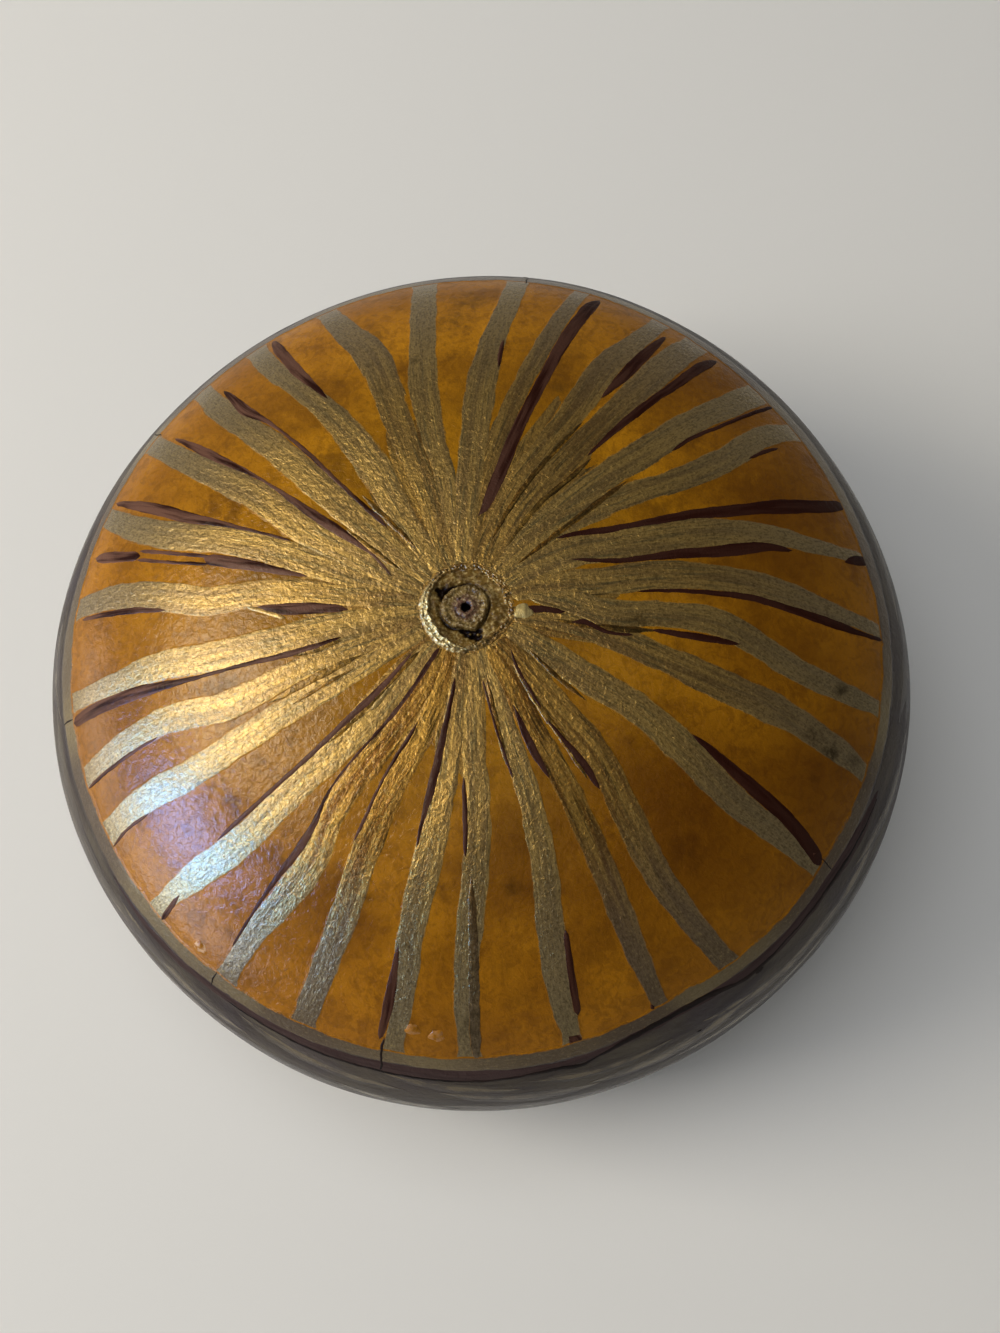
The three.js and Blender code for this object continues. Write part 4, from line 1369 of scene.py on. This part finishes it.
SCAR_FOOT = -1.5
collar = relief("scar_collar_lip", "bronze_paint", collar_bronze, collar_inner, collar_outer, SCAR_FOOT,
                collar_height, 24, collar_values)
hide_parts("scar_collar")

# %% [markdown]
# ## Dry cork of the scar
# The floor of the scar is dead, dry tissue, brown-olive and matt, dusted with bronze where the brush touched
# it. The stub is end-grain wood. Both stay rough: no varnish film closes over such pores.

# %% Material: dry floor
dry, tree = new_material("dry_scar_cork")
lumps = pattern(tree, 1.5, detail=5, roughness=0.65, seed=2.2)
dust = pattern(tree, 0.5, detail=3, seed=6.1)
depth = add(tree, "attribute", attribute_name="depth")
colour = add(tree, "blend", add(tree, "fade", lumps, 0.35, 0.62), "#705523", "#4A3511")
gilt = add(tree, "times", add(tree, "fade", dust, 0.46, 0.66), add(tree, "fade", lumps, 0.35, 0.6, 0.8, 0.25))
# the depth layer is painted shade in the gouges and the crack round the stub
colour = layered(tree, add(tree, "blend", gilt, colour, "#AC9660"), ((depth, 0.12, 0.55, 0, 1, "#180E08"),))
varnished(tree, colour, 0.55, 0.15, add(tree, "times", dust, 0.1), coat=0.15, coat_roughness=0.35)

# %% [markdown]
# The stub is harder wood: finer lumps, a reddish heart round the pinhole, and bronze rubbed on what is high.

# %% Material: woody stub
stub, tree = new_material("woody_style_stub")
lumps = pattern(tree, 1.1, detail=4, roughness=0.65, seed=4.2)
dust = pattern(tree, 0.4, detail=3, seed=8.1)
arc, depth = (add(tree, "attribute", attribute_name=label) for label in ("arc", "depth"))
colour = add(tree, "blend", add(tree, "fade", lumps, 0.38, 0.6), "#7C6638", "#513D1B")
colour = layered(tree, colour, (
    (arc, 1.5, 2.7, 0.85, 0, "#5B4033"),
    (dust, 0.50, 0.68, 0, 0.6, "#A8956C"),
    # the depth layer paints shade into the pinhole, and darkens a ring round the cone and some patches
    (depth, 0.1, 0.6, 0, 1, "#20120C"),
))
varnished(tree, colour, 0.5, 0.12, add(tree, "times", dust, 0.08), coat=0.2, coat_roughness=0.3)

# %% [markdown]
# As the floor dried it split: a few deep gouges, and a crack all round where it shrank away from the stub.
# Both are real relief, and the depth is kept as a measure, so that the material can paint shade into them.

# %% Floor of the scar, with its gouges
# Gouges: place in the scar, size and depth
GOUGES = (
    ((-3.55, 2.85), 0.55, 0.8), ((-4.5, 3.05), 0.4, 0.6), ((-2.7, 2.9), 0.4, 0.6),
    ((-3.5, 2.0), 0.45, 0.5), ((0.9, -4.5), 0.55, 0.8), ((1.9, -4.9), 0.4, 0.75),
    ((2.1, -4.0), 0.35, 0.6), ((0.0, -4.1), 0.35, 0.5), ((-5.9, 1.6), 0.25, 0.3),
    ((-0.6, -3.9), 0.3, 0.4), ((4.9, -4.6), 0.25, 0.25),
)


def gouging(x, y):
    torn = 1 + 0.5 * rough(x, y, 0.8, 15)
    return torn * sum(depth * bump_at(x, y, place, size) for place, size, depth in GOUGES)


def moat(radius, angle, width):
    """The crack where the floor has shrunk away from the stub: widest at the left, fine at the right."""
    gap = radius - cornered(angle, STUB_CORNERS) - 0.12
    left = 0.5 + 0.5 * np.cos(angle - math.radians(185))
    uneven = 0.75 + 0.25 * np.cos(3 * angle + 0.6)
    return np.exp(-(gap**2) / (2 * (width * (0.7 + 0.9 * left)) ** 2)) * uneven


def floor_height(radius, angle, share):
    x, y = radius * np.cos(angle), radius * np.sin(angle)
    # the floor lies nearly level with the skin at the right, and lower behind the high part of the lip
    level = -0.06 - 0.16 * (0.5 + 0.5 * np.cos(angle - math.radians(200)))
    hollows = level - gouging(x, y) - 0.45 * moat(radius, angle, 0.17)
    return hollows + 0.09 * rough(x, y, 1.5, 8) + 0.05 * rough(x, y, 0.6, 9)


def floor_values(radius, angle, share):
    x, y = radius * np.cos(angle), radius * np.sin(angle)
    return {"depth": gouging(x, y) * 1.1 + 0.55 * moat(radius, angle, 0.2), "arc": radius}


def under_the_stub(angle):
    return np.full_like(angle, 0.9)


def under_the_lip(angle):
    return collar_inner(angle) + 0.35


scar_floor = relief("scar_floor", "dried_disc", dry, under_the_stub, under_the_lip, SCAR_FOOT,
                    floor_height, 46, floor_values)
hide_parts("scar_disc")

# %% [markdown]
# The stub is what the flower's style left: a low rim, a dished face and a small cone with a pinhole. It could
# be turned like a button, but each of these is uneven, so it is one more relief.

# %% The style's stub
def stub_outer(angle):
    return cornered(angle, STUB_CORNERS) - 0.08 + ripple(angle, ((17, 0.04, 3), (29, 0.03, 10)))


def stub_height(radius, angle, share):
    x, y = radius * np.cos(angle), radius * np.sin(angle)
    rim = 0.22 * np.exp(-((share - 0.84) ** 2) / (2 * 0.10**2)) * (1 + 0.4 * rough(x, y, 1.2, 11))
    cone = 0.36 * np.exp(-((radius - 1.2) ** 2) / (2 * 0.3**2)) * (0.8 + 0.2 * np.cos(angle))
    drop = 0.45 * np.clip((share - 0.93) / 0.07, 0, 1) ** 2
    return 0.18 + rim + cone - drop + 0.07 * rough(x, y, 0.9, 12) + 0.04 * rough(x, y, 0.42, 13)


def stub_values(radius, angle, share):
    x, y = radius * np.cos(angle), radius * np.sin(angle)
    # the pinhole is darkened as painted shade; a ring round the cone, darker towards the left, and random
    # patches darken too
    hole = np.clip((0.95 - radius) / 0.3, 0, 1)
    ring = 0.35 * np.exp(-((radius - 1.75) ** 2) / (2 * 0.2**2)) * (0.55 - 0.45 * np.cos(angle - 0.6))
    return {"depth": hole + ring + np.clip(0.25 * rough(x, y, 1.0, 14), 0, 0.4), "arc": radius}


def pinhole(angle):
    return 0.7 + 0.05 * np.cos(3 * angle)


button = relief("style_stub", "style_wood", stub, pinhole, stub_outer, -0.5, stub_height, 34, stub_values)
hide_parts("style_button")

# %% [markdown]
# A drop of thick pale gold paint dried on the skin beside the scar, on its right. Further out the rind has
# three small warts, as gourds do, which the varnish rounded over, so that each catches a glint.

# %% Beads that stand on the skin
BEAD_STEPS, BEAD_AROUND, BEAD_SINK = 14, 48, 0.03


def bead(name, material, place, size, height, seed, tone=0.8):
    """A low, lumpy dome. Its place is its bearing and arc, its size is half its lengths out and across."""
    way_x, way_y = math.cos(math.radians(place[0])), math.sin(math.radians(place[0]))
    share = np.linspace(0.02, 1, BEAD_STEPS)[:, None]
    turn = np.arange(BEAD_AROUND)[None, :] * 2 * math.pi / BEAD_AROUND
    outline = 1 + 0.12 * np.cos(3 * turn + seed) + 0.07 * np.cos(5 * turn)
    out, aside = place[1] + size[0] * share * np.cos(turn) * outline, size[1] * share * np.sin(turn) * outline
    x, y = out * way_x - aside * way_y, out * way_y + aside * way_x
    arc, bearing = np.hypot(x, y), np.degrees(np.arctan2(y, x))
    lumps = 0.15 * height * rough(x, y, 1.2, 30 + seed) * (1 - share)
    lift = height * (1 - share**2) ** 0.7 + lumps - BEAD_SINK
    faces = grid_faces(BEAD_STEPS, BEAD_AROUND, closed=True).tolist() + [list(range(BEAD_AROUND))]
    make_piece(name, (material,), skin(bearing, arc, lift), faces, {
        "across": 0.2 * x, "along": 0.2 * y + 900, "edge": np.broadcast_to(share * 0.5, arc.shape),
        "cover": np.full(arc.shape, 1.2), "tone": np.full(arc.shape, tone), "arc": arc,
    })


# %% [markdown]
# The drop is the bronze recipe, thick and pale. A wart is rind with paler patches painted on it as a
# painted glint; how strong it is, is the bead's tone.

# %% The dried drop and the warts
drop_material = bronze_material("dried_gold_drop", light="#A8935C", dark="#8C7745", grey="#9A8852",
                                metal=0.25, crackle=0.5)
bead("paint_drop", drop_material, (-4.8, 8.98), (1.5, 1.3), 0.32, 1)
wart_material, tree = new_material("varnished_wart_with_painted_glint")
patches = add(tree, "fade", pattern(tree, 0.7, detail=3, seed=3.3), 0.4, 0.62)
painted_glint = add(tree, "times", patches, add(tree, "attribute", attribute_name="tone"))
varnished(tree, add(tree, "blend", painted_glint, rind_colour(tree), "#C9A98A"), 0.4, 0.0, rind_height(tree))
# The painted glint is strongest on the wart at the left: bearing, arc and tone
WART_BEADS = ((230.6, 68.3, 0.8), (262.5, 65.7, 0.15), (265.8, 66.4, 0.15))
for number, (bearing, arc, tone) in enumerate(WART_BEADS, 1):
    name = f"skin_wart_{number}"
    bead(name, wart_material, (bearing, arc), (1.0, 1.25), 0.2, 1 + number, tone)

# %% [markdown]
# ## Camera, floor and lamps
# The picture was taken from a little above arm's reach, looking steeply down. Fitting the gourd's outline
# and its scar gave the height, the angle and the lens; the real object and the model share them.

# %% Camera
ELEVATION = math.radians(72.25)
DISTANCE, FOCAL_PIXELS, LONG_SIDE, SENSOR = 253.08, 1400, 1333, 36.0
AIM_X, AIM_UP = -3.666, -1.755
right = Vector((1, 0, 0))
upward = Vector((0, math.sin(ELEVATION), math.cos(ELEVATION)))
toward = Vector((0, -math.cos(ELEVATION), math.sin(ELEVATION)))
data = bpy.data.cameras.new("camera")
data.sensor_fit = "VERTICAL"
data.sensor_height = SENSOR
data.lens = SENSOR * FOCAL_PIXELS / LONG_SIDE
data.clip_start = 0.01
camera = bpy.data.objects.new("camera", data)
place = Vector(SHIFT) + toward * DISTANCE - right * AIM_X - upward * AIM_UP
turned = Matrix((right, upward, toward)).transposed().to_4x4()
camera.matrix_world = Matrix.Translation(place * MM) @ turned
bpy.context.scene.collection.objects.link(camera)
bpy.context.scene.camera = camera
print("camera at", [round(v, 4) for v in camera.location], "lens", round(data.lens, 2))

# %% [markdown]
# The bowl lies on matt white paper. The room has pale walls and a dimmer ceiling, so that the varnish mirrors
# something darker than the paper, and its left half is the brighter one. The world's colour does both.

# %% Floor and room
FLOOR, BELOW_THE_RIM = 6.0, 0.0003
mesh = bpy.data.meshes.new("floor")
corners = [(-FLOOR, -FLOOR, 0), (FLOOR, -FLOOR, 0), (FLOOR, FLOOR, 0), (-FLOOR, FLOOR, 0)]
mesh.from_pydata(corners, [], [(0, 1, 2, 3)])
floor = bpy.data.objects.new("floor", mesh)
bpy.context.scene.collection.objects.link(floor)
floor.location.z = -BELOW_THE_RIM
paper, tree = new_material("matt_paper")
add(tree, "surface", add(tree, "shader", "#DEDCD4", 0.9))
mesh.materials.append(paper)

world = bpy.data.worlds.new("studio")
bpy.context.scene.world = world
world.use_nodes = True
tree = world.node_tree
to_right = add(tree, "parted", add(tree, "direction"))
to_ceiling = to_right.node.outputs["Z"]
room = add(tree, "blend", add(tree, "fade", to_ceiling, 0.0, 0.9), "#E6E6E4", "#747576")
background = tree.nodes["Background"]
tree.links.new(room, background.inputs["Color"])
tree.links.new(add(tree, "fade", to_right, -1, 1, 0.50, 0.2), background.inputs["Strength"])

# %% [markdown]
# A photographer would light this with soft boxes. The key comes from the left and a soft fill hangs overhead,
# and neither is mirrored. The varnish and the bronze mirror a warm and a cool box and a cool card instead,
# which add nothing to the paper. A low window at the left does both.

# %% Lamps
# Name, bearing and height in degrees, distance, size, watts, colour, whether it lights, whether mirrored
LAMPS = (
    ("key_soft_box", 181, 36, 1.1, (0.55, 0.45), 7.6, "#FFF8EE", True, False),
    ("overhead_fill", 172, 78, 1.2, (0.9, 0.9), 6.7, "#F3F6FF", True, False),
    ("warm_soft_box", 165, 53, 1.0, (0.36, 0.32), 6.0, "#FFF3D6", False, True),
    ("cool_soft_box", -165, 34, 1.0, (0.25, 0.34), 11.5, "#62A6FF", False, True),
    ("low_window", 184, 8, 1.3, (1.0, 0.36), 5.2, "#FFF6EE", True, True),
    ("low_cool_card", -150, 15, 1.2, (0.5, 0.44), 5.2, "#BCDCFF", False, True),
)
# Height of the place that the lamps look at
LAMP_AIM = 0.04
for name, azimuth, elevation, distance, size, power, colour, lights, mirrored in LAMPS:
    made = bpy.data.lights.new(name, "AREA")
    made.shape = "RECTANGLE"
    made.size, made.size_y = size
    made.energy = power
    made.color = hex_colour(colour)[:3]
    stand = bpy.data.objects.new(name, made)
    a, e = math.radians(azimuth), math.radians(elevation)
    ray = Vector((math.cos(a) * math.cos(e), math.sin(a) * math.cos(e), math.sin(e)))
    stand.location = ray * distance + Vector((0, 0, LAMP_AIM))
    stand.rotation_euler = ray.to_track_quat("Z", "Y").to_euler()
    stand.visible_diffuse, stand.visible_glossy = lights, mirrored
    bpy.context.scene.collection.objects.link(stand)
bpy.context.scene.view_settings.view_transform = "Standard"
print("lamps:", len(LAMPS))
